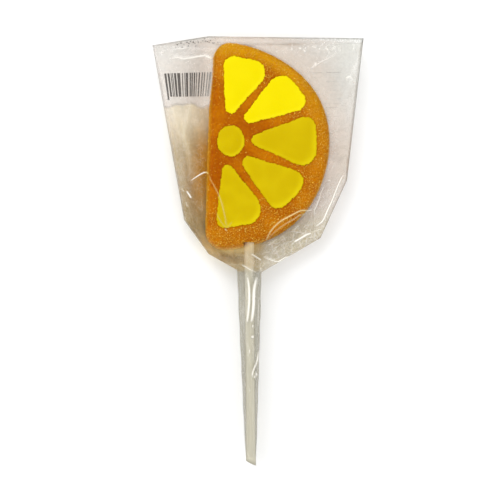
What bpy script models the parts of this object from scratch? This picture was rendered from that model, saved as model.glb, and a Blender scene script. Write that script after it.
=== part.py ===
"""A fruit jelly lollipop in its clear bag: half an orange slice of jelly, with yellow segments, on a stick.

Units are metres and +Z is up. The lollipop lies on its back, its segments up and its stick along -Y.
The origin is under the middle of the whole, on the surface that the bag lies on.
"""

from math import atan2, ceil, cos, hypot, pi, radians, sin, sqrt, tan

import bmesh
import bpy
from mathutils import Matrix, Vector

# Gaps between pieces that touch, and the thickness the film is given here
GAP = 0.0003
FILM = 0.0004

# Jelly slice, in its own frame: the round's centre at the origin, the straight cut side towards -X
SLICE_RADIUS = 0.0416
SLICE_CUT = 0.0069
SLICE_CORNER = 0.0077
SLICE_THICK = 0.0120
SLICE_CENTRE = (-0.0132, 0.0419)
SLICE_TURN = radians(-1.8)
SLICE_FLOOR = GAP + FILM

# The slice from its back up to its front: height as a share of the thickness, and inset of the outline
SLICE_LEVELS = (
    (0.000, 0.0010),
    (0.025, 0.0004),
    (0.085, 0.0000),
    (0.740, 0.0005),
    (0.870, 0.0009),
    (0.950, 0.0016),
    (1.000, 0.0028),
)

# A poured edge wanders a little: waves round the outline, as (height, waves to a turn, phase)
SLICE_WAVES = ((0.00048, 2, 0.3), (0.00074, 3, 2.1), (0.00074, 4, -0.8))

# The straight side draws in by this much towards its upper corner, between these two heights
SLICE_NIP = 0.0009
SLICE_NIP_REACH = 0.0060
SLICE_NIP_FROM = 0.0140
SLICE_NIP_TO = 0.0300

# Yellow inlays: how deep they sit, how far they stand proud, and the dome on top of that
INLAY_DEPTH = 0.0024
INLAY_PROUD = 0.0007
DOT_PROUD = 0.0012
DOT_RADIUS = 0.0058
DOT_STRETCH = (0.94, 1.07)
DOT_CENTRE = (0.0023, 0.0020)

# Segments fan out from the dot. Each has its tip's reach and angle, the angles of its outer corners, the reach
# of those corners and of the bulge between them, and the roundings of the tip, last corner, bulge, first corner
FAN = (
    (0.0077, 106.9, 97.0, 60.6, 0.0350, 0.0334, (0.0023, 0.0051, 0.0200, 0.0044)),
    (0.0056, 75.2, 57.6, 24.2, 0.0350, 0.0344, (0.0024, 0.0043, 0.0040, 0.0058)),
    (0.0043, 9.5, 20.5, -18.8, 0.0358, 0.0342, (0.0024, 0.0055, 0.0200, 0.0046)),
    (0.0039, -82.7, -21.3, -56.6, 0.0342, 0.0340, (0.0028, 0.0047, 0.0040, 0.0046)),
    (0.0067, -114.0, -59.3, -98.3, 0.0359, 0.0340, (0.0024, 0.0037, 0.0100, 0.0065)),
)

# Stick: it leans a little, goes into the round edge of the slice and ends in a slanting cut
STICK_RADIUS = 0.0020
STICK_END = -0.0860
STICK_LENGTH = 0.1150
STICK_END_X = -0.0028
STICK_LEAN = radians(0.50)
STICK_CUT = radians(27)
STICK_HEIGHT = SLICE_FLOOR + SLICE_THICK / 2

# Above the stick the jelly's edge is open as far as this Y, so that the stick shows there from above
NOTCH_END_Y = 0.0036
NOTCH_WIDTH = 0.0048
NOTCH_LENGTH = 0.0060

# Bag: the corners of its flat outline, clockwise from the top left, without the neck
BAG_CORNERS = (
    (-0.0423, 0.0824),
    (-0.0200, 0.0860),
    (0.0423, 0.0852),
    (0.0357, 0.0284),
    (0.0250, 0.0052),
    (0.0014, -0.0086),
    (-0.0084, -0.0076),
    (-0.0198, -0.0012),
    (-0.0296, 0.0124),
)
SEAL_BAND = 0.0032
SIDE_BAND = 0.0006
SEAL_THICK = 0.0008
ROOF_RISE = 0.0013
ROOF_INSET = 0.0046

# Sleeve of the bag down the stick: half width and half height at the neck, and radius at its open end
NECK_Y = -0.0082
NECK_HALF_WIDTH = 0.0048
NECK_HALF_HEIGHT = 0.0036
SLEEVE_END_Y = -0.0824
SLEEVE_END_RADIUS = STICK_RADIUS + GAP + FILM

ARC_STEP = radians(9)
ROUND_SIDES = 32


def clear_scene():
    for old in list(bpy.data.objects):
        bpy.data.objects.remove(old)


def new_collection(name):
    made = bpy.data.collections.new(name)
    bpy.context.scene.collection.children.link(made)
    return made


def new_material(name, colour, roughness, alpha=1.0):
    made = bpy.data.materials.new(name)
    made.use_nodes = True
    shader = made.node_tree.nodes["Principled BSDF"]
    shader.inputs["Base Color"].default_value = (*colour, 1.0)
    shader.inputs["Roughness"].default_value = roughness
    shader.inputs["Metallic"].default_value = 0.0
    shader.inputs["Alpha"].default_value = alpha
    return made


def arc(centre, radius, start, end, step=ARC_STEP):
    """Points on an arc, both ends included."""
    count = max(2, ceil(abs(end - start) / step))
    angles = [start + (end - start) * i / count for i in range(count + 1)]
    return [(centre[0] + radius * cos(a), centre[1] + radius * sin(a)) for a in angles]


def polar(centre, radius, angle):
    return (centre[0] + radius * cos(angle), centre[1] + radius * sin(angle))


def rounded_outline(corners, roundings):
    """A polygon, anticlockwise, with each corner replaced by an arc of its own radius."""
    points = []
    for i, corner in enumerate(corners):
        here = Vector(corner)
        back = (Vector(corners[i - 1]) - here).normalized()
        ahead = (Vector(corners[(i + 1) % len(corners)]) - here).normalized()
        half = back.angle(ahead) / 2
        centre = here + (back + ahead).normalized() * (roundings[i] / sin(half))
        first = here + back * (roundings[i] / tan(half)) - centre
        start = atan2(first.y, first.x)
        points += arc(centre, roundings[i], start, start + pi - 2 * half)
    return points


def grown(points, distance):
    """The outline, anticlockwise, moved outwards by a distance."""
    moved = []
    for i, point in enumerate(points):
        before, after = points[i - 1], points[(i + 1) % len(points)]
        along = (after[0] - before[0], after[1] - before[1])
        length = hypot(*along)
        moved.append(
            (
                point[0] + distance * along[1] / length,
                point[1] - distance * along[0] / length,
            )
        )
    return moved


def shrunk_to_middle(points, share):
    """The outline scaled about its middle."""
    x = sum(p[0] for p in points) / len(points)
    y = sum(p[1] for p in points) / len(points)
    return [(x + (p[0] - x) * share, y + (p[1] - y) * share) for p in points]


def nip(x, y):
    """How far a point of the outline is drawn in near the slice's upper corner."""
    near = min(max((SLICE_NIP_REACH - SLICE_CUT - x) / SLICE_NIP_REACH, 0), 1)
    up = min(max((y - SLICE_NIP_FROM) / (SLICE_NIP_TO - SLICE_NIP_FROM), 0), 1)
    return SLICE_NIP * near * up * up * (3 - 2 * up)


def slice_outline():
    """The outline of the slice: a long arc, two rounded corners and the straight cut."""
    corner_x = SLICE_CORNER - SLICE_CUT
    corner_y = sqrt((SLICE_RADIUS - SLICE_CORNER) ** 2 - corner_x**2)
    turn = atan2(corner_y, corner_x)
    rim = []
    for x, y in arc((0, 0), SLICE_RADIUS, -turn, turn, radians(4)):
        angle = atan2(y, x)
        fade = 1 - (angle / turn) ** 4
        wave = sum(high * sin(waves * angle + phase) for high, waves, phase in SLICE_WAVES)
        rim.append(polar((x, y), wave * fade, angle))
    top = arc((corner_x, corner_y), SLICE_CORNER, turn, pi)
    side = [(-SLICE_CUT, corner_y * (1 - i / 6)) for i in range(1, 12)]
    bottom = arc((corner_x, -corner_y), SLICE_CORNER, pi, 2 * pi - turn)
    return [(x + nip(x, y), y) for x, y in rim + top[1:] + side + bottom[:-1]]


def segment_outline(tip_reach, tip_angle, first_angle, last_angle, corner_reach, bulge_reach, roundings):
    """One segment: a wedge with a rounded tip, two rounded corners and a bulging outer side."""
    corners = (
        polar(DOT_CENTRE, tip_reach, radians(tip_angle)),
        polar(DOT_CENTRE, corner_reach, radians(last_angle)),
        polar(DOT_CENTRE, bulge_reach, radians((first_angle + last_angle) / 2)),
        polar(DOT_CENTRE, corner_reach, radians(first_angle)),
    )
    return rounded_outline(corners, roundings)


def dot_outline(distance):
    """The oval round the dot, grown by a distance."""
    wide, high = (DOT_RADIUS * share + distance for share in DOT_STRETCH)
    circle = arc((0, 0), 1, 0, 2 * pi)[:-1]
    return [(DOT_CENTRE[0] + wide * x, DOT_CENTRE[1] + high * y) for x, y in circle]


def ring(points, height):
    return [(x, y, height) for x, y in points]


def loft(name, rings, collection, material=None, parent=None):
    """A closed solid through rings of equal count, with a flat cap on the first and the last."""
    mesh = bpy.data.meshes.new(name)
    bm = bmesh.new()
    loops = [[bm.verts.new(point) for point in points] for points in rings]
    for low, high in zip(loops, loops[1:]):
        for i in range(len(low)):
            j = (i + 1) % len(low)
            bm.faces.new((low[i], low[j], high[j], high[i]))
    bm.faces.new(loops[0][::-1])
    bm.faces.new(loops[-1])
    bmesh.ops.recalc_face_normals(bm, faces=bm.faces)
    bm.to_mesh(mesh)
    bm.free()
    return add_object(name, mesh, collection, material, parent)


def add_object(name, mesh, collection, material=None, parent=None):
    made = bpy.data.objects.new(name, mesh)
    collection.objects.link(made)
    made.parent = parent
    if material is None:
        made.hide_render = True
        made.display_type = "WIRE"
    else:
        mesh.materials.append(material)
        mesh.shade_smooth()
        mesh.set_sharp_from_angle(angle=radians(40))
    return made


def adopt(made, collection, material=None, parent=None):
    """Moves an object that an operator made into a collection, as add_object leaves it."""
    for old in made.users_collection:
        old.objects.unlink(made)
    mesh = made.data
    name = made.name
    location, rotation = made.location.copy(), made.rotation_euler.copy()
    bpy.data.objects.remove(made)
    placed = add_object(name, mesh, collection, material, parent)
    placed.location, placed.rotation_euler = location, rotation
    return placed


def boolean(target, operation, helper):
    cut = target.modifiers.new(f"{operation.lower()}_{helper.name}", "BOOLEAN")
    cut.operation = operation
    cut.solver = "EXACT"
    cut.object = helper


def frame_empty(name, collection, location, turn):
    made = bpy.data.objects.new(name, None)
    collection.objects.link(made)
    made.location = location
    made.rotation_euler = (0, 0, turn)
    return made


def slice_rings(distance):
    """Rings of the slice, grown all round by a distance."""
    outline = slice_outline()
    rings = []
    for share, inset in SLICE_LEVELS:
        height = share * SLICE_THICK + distance * (2 * share - 1)
        rings.append(ring(grown(outline, distance - inset), height))
    return rings


def wrapped_rings(distance):
    """Rings of the slice and of the inlays that stand proud of it, grown all round by a distance."""
    roof = ring(grown(slice_outline(), distance - ROOF_INSET), SLICE_THICK + ROOF_RISE + distance)
    return slice_rings(distance) + [roof]


def make_slice(parts, cutters, frame, orange):
    """The orange body, with a pocket for each inlay and a bore for the stick."""
    body = loft("jelly_slice", slice_rings(0), parts, orange, frame)
    pocket_floor = SLICE_THICK - INLAY_DEPTH - GAP
    pocket_top = SLICE_THICK + INLAY_PROUD
    for number, shape in enumerate(FAN, start=1):
        outline = grown(segment_outline(*shape), GAP)
        rings = [ring(outline, pocket_floor), ring(outline, pocket_top)]
        boolean(body, "DIFFERENCE", loft(f"segment_pocket_{number}", rings, cutters, parent=frame))
    rings = [ring(dot_outline(GAP), pocket_floor), ring(dot_outline(GAP), pocket_top)]
    boolean(body, "DIFFERENCE", loft("dot_pocket", rings, cutters, parent=frame))
    return body


def make_segments(parts, frame, yellow):
    """The five segments: straight sides in the pocket, a rounded shoulder and a low dome."""
    for number, shape in enumerate(FAN, start=1):
        outline = segment_outline(*shape)
        floor = SLICE_THICK - INLAY_DEPTH
        shoulder = grown(outline, -0.45 * INLAY_PROUD)
        rings = [
            ring(grown(outline, -GAP), floor),
            ring(outline, floor + GAP),
            ring(outline, SLICE_THICK + 0.2 * INLAY_PROUD),
            ring(shoulder, SLICE_THICK + 0.75 * INLAY_PROUD),
            ring(shrunk_to_middle(shoulder, 0.88), SLICE_THICK + INLAY_PROUD),
            ring(shrunk_to_middle(shoulder, 0.62), SLICE_THICK + 1.15 * INLAY_PROUD),
            ring(shrunk_to_middle(shoulder, 0.30), SLICE_THICK + 1.25 * INLAY_PROUD),
        ]
        loft(f"segment_{number}", rings, parts, yellow, frame)


def make_dot(parts, frame, yellow):
    """The core: a turned button with a domed top, stretched a little into an oval."""
    steps = 6
    dome = [(cos(pi / 2 * i / steps), sin(pi / 2 * i / steps)) for i in range(steps + 1)]
    side_top = 0.2 * DOT_PROUD
    profile = [(DOT_RADIUS * x, side_top + (DOT_PROUD - side_top) * z) for x, z in reversed(dome)]
    profile += [(DOT_RADIUS, GAP - INLAY_DEPTH), (DOT_RADIUS - GAP, -INLAY_DEPTH), (0.0, -INLAY_DEPTH)]
    mesh = bpy.data.meshes.new("core_dot")
    edges = [(i, i + 1) for i in range(len(profile) - 1)]
    mesh.from_pydata([(max(x, 0.0), 0.0, z) for x, z in profile], edges, [])
    dot = add_object("core_dot", mesh, parts, yellow, frame)
    dot.location = (*DOT_CENTRE, SLICE_THICK)
    dot.scale = (*DOT_STRETCH, 1)
    screw = dot.modifiers.new("turn", "SCREW")
    screw.steps = screw.render_steps = ROUND_SIDES
    screw.use_merge_vertices = True
    screw.merge_threshold = 0.00001
    return dot


def lengthwise_cylinder(name, radius, near_y, far_y):
    """A cylinder along Y in the stick's frame, its two ends at these distances."""
    bpy.ops.mesh.primitive_cylinder_add(
        vertices=ROUND_SIDES,
        radius=radius,
        depth=abs(far_y - near_y),
        end_fill_type="NGON",
        location=(0, (near_y + far_y) / 2, 0),
        rotation=(pi / 2, 0, 0),
    )
    made = bpy.context.object
    made.name = name
    return made


def make_stick(parts, cutters, frame, white):
    """The stick, cut on the slant at its free end. Y in its frame runs from the free end into the slice."""
    slack = STICK_RADIUS * tan(STICK_CUT)
    stick = lengthwise_cylinder("stick", STICK_RADIUS, 0, STICK_LENGTH)
    stick = adopt(stick, parts, white, frame)
    bpy.ops.mesh.primitive_cube_add(size=1, location=(0, 0, 0))
    wedge = bpy.context.object
    wedge.name = "slant_cutter"
    wedge = adopt(wedge, cutters, parent=frame)
    wedge.scale = (6 * STICK_RADIUS, 4 * STICK_RADIUS, 6 * STICK_RADIUS)
    wedge.rotation_euler = (0, 0, -STICK_CUT)
    wedge.location = (
        -2 * STICK_RADIUS * sin(STICK_CUT),
        slack - 2 * STICK_RADIUS * cos(STICK_CUT),
        0,
    )
    boolean(stick, "DIFFERENCE", wedge)
    bore = lengthwise_cylinder("stick_bore", STICK_RADIUS + GAP, -STICK_RADIUS, STICK_LENGTH + GAP)
    return adopt(bore, cutters, parent=frame)


def make_notch(cutters, frame):
    """A block that opens the jelly's edge above the stick."""
    bpy.ops.mesh.primitive_cube_add(size=1, location=(0, 0, 0))
    notch = bpy.context.object
    notch.name = "stick_notch"
    notch = adopt(notch, cutters, parent=frame)
    notch.scale = (NOTCH_WIDTH, NOTCH_LENGTH, SLICE_THICK)
    notch.location = (0, NOTCH_END_Y - STICK_END - NOTCH_LENGTH / 2, SLICE_THICK / 2 - GAP)
    return notch


def band_outline():
    """The bag's outline inside its seal at the top and its folded sides, anticlockwise."""
    corners = [Vector(corner) for corner in BAG_CORNERS]
    middle = sum(corners, Vector((0, 0))) / len(corners)
    inside = []
    for corner in corners:
        inwards = (middle - corner).normalized() * SIDE_BAND
        x, y = corner + inwards
        inside.append((x, min(y, corners[1].y - SEAL_BAND)))
    return inside[::-1]


def sleeve_ring(y, half_width, half_height):
    """A ring round the stick, in the stick's frame."""
    angles = [2 * pi * i / ROUND_SIDES for i in range(ROUND_SIDES)]
    return [(half_width * sin(a), y, half_height * cos(a)) for a in angles]


def make_bag(parts, cutters, slice_frame, stick_frame, stick_bore, clear):
    """The bag: a taut pouch over the slice, a flat sealed edge round it and a sleeve down the stick."""
    bpy.context.view_layer.update()
    to_world = slice_frame.matrix_world
    from_stick = stick_frame.matrix_world
    neck = NECK_Y - STICK_END
    points = [to_world @ Vector(p) for level in wrapped_rings(GAP + FILM) for p in level]
    points += [from_stick @ Vector(p) for p in sleeve_ring(neck, NECK_HALF_WIDTH, NECK_HALF_HEIGHT)]
    for x, y in band_outline():
        points += [Vector((x, y, STICK_HEIGHT + SEAL_THICK * side)) for side in (-0.25, 0.25)]
    mesh = bpy.data.meshes.new("bag")
    bm = bmesh.new()
    for point in points:
        bm.verts.new(point)
    made = bmesh.ops.convex_hull(bm, input=bm.verts)
    loose = set(made["geom_interior"]) | set(made["geom_unused"])
    bmesh.ops.delete(bm, geom=[v for v in loose if isinstance(v, bmesh.types.BMVert)])
    bmesh.ops.dissolve_limit(bm, angle_limit=radians(0.1), verts=bm.verts, edges=bm.edges)
    bmesh.ops.recalc_face_normals(bm, faces=bm.faces)
    bm.to_mesh(mesh)
    bm.free()
    bag = add_object("bag", mesh, parts, clear)

    edge = [ring(BAG_CORNERS[::-1], STICK_HEIGHT + SEAL_THICK * side) for side in (-0.5, 0.5)]
    boolean(bag, "UNION", loft("flat_edge", edge, cutters))

    sleeve_end = SLEEVE_END_Y - STICK_END
    inside_pouch = neck + NECK_HALF_WIDTH
    sleeve = [
        sleeve_ring(sleeve_end, SLEEVE_END_RADIUS, SLEEVE_END_RADIUS),
        sleeve_ring(neck, NECK_HALF_WIDTH, NECK_HALF_HEIGHT),
        sleeve_ring(inside_pouch, NECK_HALF_WIDTH, NECK_HALF_HEIGHT),
    ]
    boolean(bag, "UNION", loft("sleeve", sleeve, cutters, parent=stick_frame))
    boolean(bag, "DIFFERENCE", loft("slice_room", wrapped_rings(GAP), cutters, parent=slice_frame))
    boolean(bag, "DIFFERENCE", stick_bore)
    return bag


def main():
    clear_scene()
    parts = new_collection("jelly_lollipop")
    cutters = new_collection("cutters")
    orange = new_material("orange_jelly", (0.58, 0.20, 0.004), 0.45)
    yellow = new_material("yellow_jelly", (0.84, 0.66, 0.004), 0.40)
    white = new_material("stick_plastic", (0.80, 0.78, 0.70), 0.40)
    clear = new_material("clear_film", (0.86, 0.84, 0.79), 0.10, alpha=0.25)

    slice_frame = frame_empty("slice_frame", parts, (*SLICE_CENTRE, SLICE_FLOOR), SLICE_TURN)
    stick_place = (STICK_END_X, STICK_END, STICK_HEIGHT)
    stick_frame = frame_empty("stick_frame", parts, stick_place, STICK_LEAN)

    body = make_slice(parts, cutters, slice_frame, orange)
    make_segments(parts, slice_frame, yellow)
    make_dot(parts, slice_frame, yellow)
    stick_bore = make_stick(parts, cutters, stick_frame, white)
    boolean(body, "DIFFERENCE", stick_bore)
    boolean(body, "DIFFERENCE", make_notch(cutters, stick_frame))
    make_bag(parts, cutters, slice_frame, stick_frame, stick_bore, clear)


main()
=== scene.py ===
"""Dresses the jelly lollipop: sugared jelly with yellow segments, its stick and the clear bag round them.

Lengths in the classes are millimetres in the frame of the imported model. They become metres where a mesh,
a lamp or the camera is made.
"""
from __future__ import annotations

import logging
import math
from dataclasses import dataclass, field
from enum import Enum

import bmesh
import bpy
import numpy as np
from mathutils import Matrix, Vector


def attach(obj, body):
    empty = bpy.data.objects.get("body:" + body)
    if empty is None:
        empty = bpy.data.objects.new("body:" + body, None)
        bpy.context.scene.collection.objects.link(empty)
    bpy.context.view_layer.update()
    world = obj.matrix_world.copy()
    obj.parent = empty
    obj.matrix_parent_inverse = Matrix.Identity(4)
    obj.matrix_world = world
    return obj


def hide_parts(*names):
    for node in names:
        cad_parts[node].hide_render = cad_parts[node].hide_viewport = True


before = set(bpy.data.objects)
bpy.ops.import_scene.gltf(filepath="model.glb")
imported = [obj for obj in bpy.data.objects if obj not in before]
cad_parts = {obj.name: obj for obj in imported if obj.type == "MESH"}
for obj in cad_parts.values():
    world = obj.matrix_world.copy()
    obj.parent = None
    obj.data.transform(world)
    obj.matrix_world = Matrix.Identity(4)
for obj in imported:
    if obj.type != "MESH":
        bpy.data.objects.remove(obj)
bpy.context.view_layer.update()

Array = np.ndarray
Point = tuple[float, float]
Colour = tuple[float, float, float]

MM = 0.001
TINY = 1e-12
WHITE = (1.0, 1.0, 1.0, 1.0)
BODY = "root"
SEED = 20

log = logging.getLogger("lollipop")


class Slot(Enum):
    """The record's material slots."""

    ORANGE = "orange_jelly"
    YELLOW = "yellow_jelly"
    STICK = "stick_plastic"
    FILM = "clear_film"


# Curves in plan


def smoothstep(value: Array, low: float, high: float) -> Array:
    """Rises from 0 at low to 1 at high, along 3 t squared less 2 t cubed.

    Args:
        value: The numbers to grade.
        low: Where the rise starts.
        high: Where it ends. Below low, the step falls instead.

    Returns:
        An array like value, from 0 to 1.
    """
    t = np.clip((value - low) / (high - low), 0.0, 1.0)
    return t * t * (3.0 - 2.0 * t)


def blend(first: Array, second: Colour, share: Array) -> Array:
    """Colours that go from first to second: first + (second - first) * share.

    Args:
        first: (n, 3) array of colours.
        second: One colour.
        share: (n,) array from 0 to 1.

    Returns:
        A (n, 3) array.
    """
    return first + (np.array(second) - first) * share[:, None]


def arc(centre: Point, radius: float, start: float, end: float, count: int) -> Array:
    """Points at centre + radius * (cos a, sin a), with a stepping evenly from start to end.

    Args:
        centre: The arc's centre.
        radius: Its radius.
        start: First angle, in radians.
        end: Last angle, in radians.
        count: How many points.

    Returns:
        A (count, 2) array.
    """
    a = np.linspace(start, end, count)
    return np.stack([centre[0] + radius * np.cos(a), centre[1] + radius * np.sin(a)], axis=1)


def evenly_spaced(loop: Array, count: int) -> Array:
    """Points at equal distances along a closed loop, by reading its corners at even running lengths.

    Args:
        loop: The loop's corners, (n, 2).
        count: How many points to return.

    Returns:
        A (count, 2) array.
    """
    closed = np.vstack([loop, loop[:1]])
    run = np.concatenate([[0.0], np.cumsum(np.linalg.norm(np.diff(closed, axis=0), axis=1))])
    at = np.linspace(0.0, run[-1], count, endpoint=False)
    return np.stack([np.interp(at, run, closed[:, k]) for k in range(2)], axis=1)


def outward(loop: Array) -> Array:
    """Unit normals of an anticlockwise loop: the step across each point, turned a quarter turn clockwise.

    Args:
        loop: The loop's points, (n, 2).

    Returns:
        A (n, 2) array of normals.
    """
    along = np.roll(loop, -1, axis=0) - np.roll(loop, 1, axis=0)
    normal = np.stack([along[:, 1], -along[:, 0]], axis=1)
    return normal / np.linalg.norm(normal, axis=1, keepdims=True)


def path_distance(points: Array, path: Array) -> tuple[Array, Array]:
    """Distance from each point to an open path, and how far along the path the nearest place lies.

    Each point is dropped on to each straight piece of the path, and the nearest foot is kept.

    Args:
        points: (m, 2) array.
        path: (k, 2) array of the path's corners.

    Returns:
        The distances, and the places along the path from 0 to 1.
    """
    start, step = path[:-1], np.diff(path, axis=0)
    offset = points[:, None, :] - start[None]
    share = np.clip((offset * step).sum(2) / np.maximum((step * step).sum(1), TINY), 0.0, 1.0)
    gap = np.linalg.norm(offset - share[..., None] * step, axis=2)
    best = gap.argmin(axis=1)
    rows = np.arange(len(points))
    return gap[rows, best], (best + share[rows, best]) / len(step)


def signed_distance(points: Array, loop: Array) -> Array:
    """Distance from each point to a closed loop, negative inside, where a ray to +X crosses it oddly.

    Args:
        points: (m, 2) array.
        loop: (k, 2) array of the loop's corners.

    Returns:
        A (m,) array.
    """
    far = np.roll(loop, -1, axis=0)
    gap, _ = path_distance(points, np.vstack([loop, loop[:1]]))
    x, y = points[:, 0, None], points[:, 1, None]
    spans = (loop[None, :, 1] > y) != (far[None, :, 1] > y)
    rise = np.where(far[:, 1] == loop[:, 1], TINY, far[:, 1] - loop[:, 1])
    crossing = (far[:, 0] - loop[:, 0]) * (y - loop[:, 1]) / rise + loop[:, 0]
    inside = (spans & (x < crossing)).sum(axis=1) % 2 == 1
    return np.where(inside, -gap, gap)


def smooth_path(points: tuple[Point, ...], steps: int = 8) -> Array:
    """A curve through a few points, by Catmull-Rom pieces with the end points doubled.

    Args:
        points: The points that it passes.
        steps: Steps between two of them.

    Returns:
        A (n, 2) array.
    """
    p = np.array([points[0], *points, points[-1]], float)
    t = np.linspace(0.0, 1.0, steps, endpoint=False)[:, None]
    a, b, c, d = (p[k : len(p) - 3 + k, None, :] for k in range(4))
    curve = 0.5 * (2 * b + (c - a) * t + (2 * a - 5 * b + 4 * c - d) * t**2 + (3 * b - a - 3 * c + d) * t**3)
    return np.vstack([curve.reshape(-1, 2), p[-1:]])


def rounded_polygon(corners: Array, roundings: tuple[float, ...], steps: int = 14) -> Array:
    """An anticlockwise polygon with each corner turned into an arc of its own radius.

    Args:
        corners: (n, 2) array.
        roundings: A radius for each corner.
        steps: Points on each arc.

    Returns:
        A (n * steps, 2) array.
    """
    back = np.roll(corners, 1, axis=0) - corners
    ahead = np.roll(corners, -1, axis=0) - corners
    back /= np.linalg.norm(back, axis=1, keepdims=True)
    ahead /= np.linalg.norm(ahead, axis=1, keepdims=True)
    half = np.arccos((back * ahead).sum(1)) / 2
    bisector = (back + ahead) / np.linalg.norm(back + ahead, axis=1, keepdims=True)
    radius = np.array(roundings)
    centre = corners + bisector * (radius / np.sin(half))[:, None]
    first = corners + back * (radius / np.tan(half))[:, None] - centre
    turn = np.linspace(0.0, 1.0, steps)[None, :] * (math.pi - 2 * half)[:, None]
    angle = np.arctan2(first[:, 1], first[:, 0])[:, None] + turn
    ring = np.stack([np.cos(angle), np.sin(angle)], axis=2) * radius[:, None, None]
    return (centre[:, None, :] + ring).reshape(-1, 2)


# Meshes


@dataclass
class Skin:
    """Corners and faces of one piece, gathered as arrays and made a mesh at the end."""

    points: list[Array] = field(default_factory=list)
    faces: list[Array] = field(default_factory=list)
    fields: dict[str, list[Array]] = field(default_factory=dict)
    count: int = 0

    def add(self, points: Array, faces: list[Array], **values: Array) -> None:
        """Adds points with faces that count from the first of them.

        Args:
            points: (n, 3) array in millimetres.
            faces: Arrays of corner numbers, one row a face, in any widths.
            **values: A number or a colour for each point, kept under this name.
        """
        self.points.append(points)
        self.faces += [f + self.count for f in faces]
        for name, value in values.items():
            self.fields.setdefault(name, []).append(value)
        self.count += len(points)

    def add_grid(self, grid: Array, wrap: bool = True, caps: bool = False, flip: bool = False,
                 **values: Array) -> None:
        """Adds a grid of points as quads, each between two rows and two columns.

        Rows that run upwards with columns that run anticlockwise, seen from above, face outwards.

        Args:
            grid: (rows, columns, 3) array in millimetres.
            wrap: Joins the last column to the first.
            caps: Closes the first and the last row with a fan to its middle.
            flip: Turns the faces round.
            **values: (rows, columns) or (rows, columns, 3) arrays, kept for each point.
        """
        rows, columns = grid.shape[:2]
        number = np.arange(rows * columns).reshape(rows, columns)
        right = np.roll(number, -1, axis=1) if wrap else number[:, 1:]
        left = number if wrap else number[:, :-1]
        quads = np.stack([left[:-1], right[:-1], right[1:], left[1:]], axis=2).reshape(-1, 4)
        faces, points = [quads], grid.reshape(-1, 3)
        flat = {name: value.reshape(rows * columns, -1) for name, value in values.items()}
        if caps:
            poles = np.stack([grid[0].mean(0), grid[-1].mean(0)])
            first = np.stack([np.full(columns, len(points)), right[0], number[0]], axis=1)
            last = np.stack([np.full(columns, len(points) + 1), number[-1], right[-1]], axis=1)
            faces += [first, last]
            points = np.vstack([points, poles])
            for name, value in flat.items():
                ends = np.stack([value[:columns].mean(0), value[-columns:].mean(0)])
                flat[name] = np.vstack([value, ends])
        self.add(points, [f[:, ::-1] for f in faces] if flip else faces, **flat)

    def make(self, name: str, material: bpy.types.Material) -> bpy.types.Object:
        """Makes the object, at the origin, riding on the body with its material.

        Args:
            name: The piece's name.
            material: Its finish.

        Returns:
            The new object.
        """
        mesh = bpy.data.meshes.new(name)
        mesh.vertices.add(self.count)
        mesh.vertices.foreach_set("co", (np.vstack(self.points) * MM).astype(np.float32).ravel())
        widths = np.concatenate([np.full(len(f), f.shape[1]) for f in self.faces])
        mesh.loops.add(int(widths.sum()))
        corners = np.concatenate([f.ravel() for f in self.faces]).astype(np.int32)
        mesh.loops.foreach_set("vertex_index", corners)
        mesh.polygons.add(len(widths))
        mesh.polygons.foreach_set("loop_start", (np.cumsum(widths) - widths).astype(np.int32))
        for key, parts in self.fields.items():
            value = np.vstack(parts)
            if value.shape[1] == 1:
                mesh.attributes.new(key, "FLOAT", "POINT").data.foreach_set("value", value.ravel())
            else:
                rgba = np.hstack([value, np.ones((len(value), 1))])
                mesh.attributes.new(key, "FLOAT_COLOR", "POINT").data.foreach_set("color", rgba.ravel())
        mesh.update(calc_edges=True)
        mesh.validate()
        mesh.shade_smooth()
        mesh.materials.append(material)
        piece = bpy.data.objects.new(name, mesh)
        bpy.context.scene.collection.objects.link(piece)
        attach(piece, BODY)
        log.info("%s: %d points, %d faces", name, self.count, len(widths))
        return piece


# Shader nodes


class Wire:
    """A number, colour or vector on its way between shader nodes, with + - * on numbers."""

    def __init__(self, graph: Graph, socket: bpy.types.NodeSocket) -> None:
        """Wraps an output socket of a graph's node."""
        self.graph = graph
        self.socket = socket

    def _math(self, operation: str, first: Wire | float, second: Wire | float = 0.0) -> Wire:
        """A Math node on two values."""
        return self.graph.node("ShaderNodeMath", {"operation": operation}, {0: first, 1: second})

    def __add__(self, other: Wire | float) -> Wire:
        """Sum."""
        return self._math("ADD", self, other)

    __radd__ = __add__

    def __sub__(self, other: Wire | float) -> Wire:
        """Difference."""
        return self._math("SUBTRACT", self, other)

    def __rsub__(self, other: float) -> Wire:
        """A number less this."""
        return self._math("SUBTRACT", other, self)

    def __mul__(self, other: Wire | float) -> Wire:
        """Product."""
        return self._math("MULTIPLY", self, other)

    __rmul__ = __mul__

    def clamped(self) -> Wire:
        """The value kept from 0 to 1."""
        return self.graph.node("ShaderNodeClamp", {}, {0: self})

    def ramp(self, low: float, high: float) -> Wire:
        """A smooth step from 0 at low to 1 at high."""
        settings = {"interpolation_type": "SMOOTHSTEP"}
        return self.graph.node("ShaderNodeMapRange", settings, {0: self, 1: low, 2: high})


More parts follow.
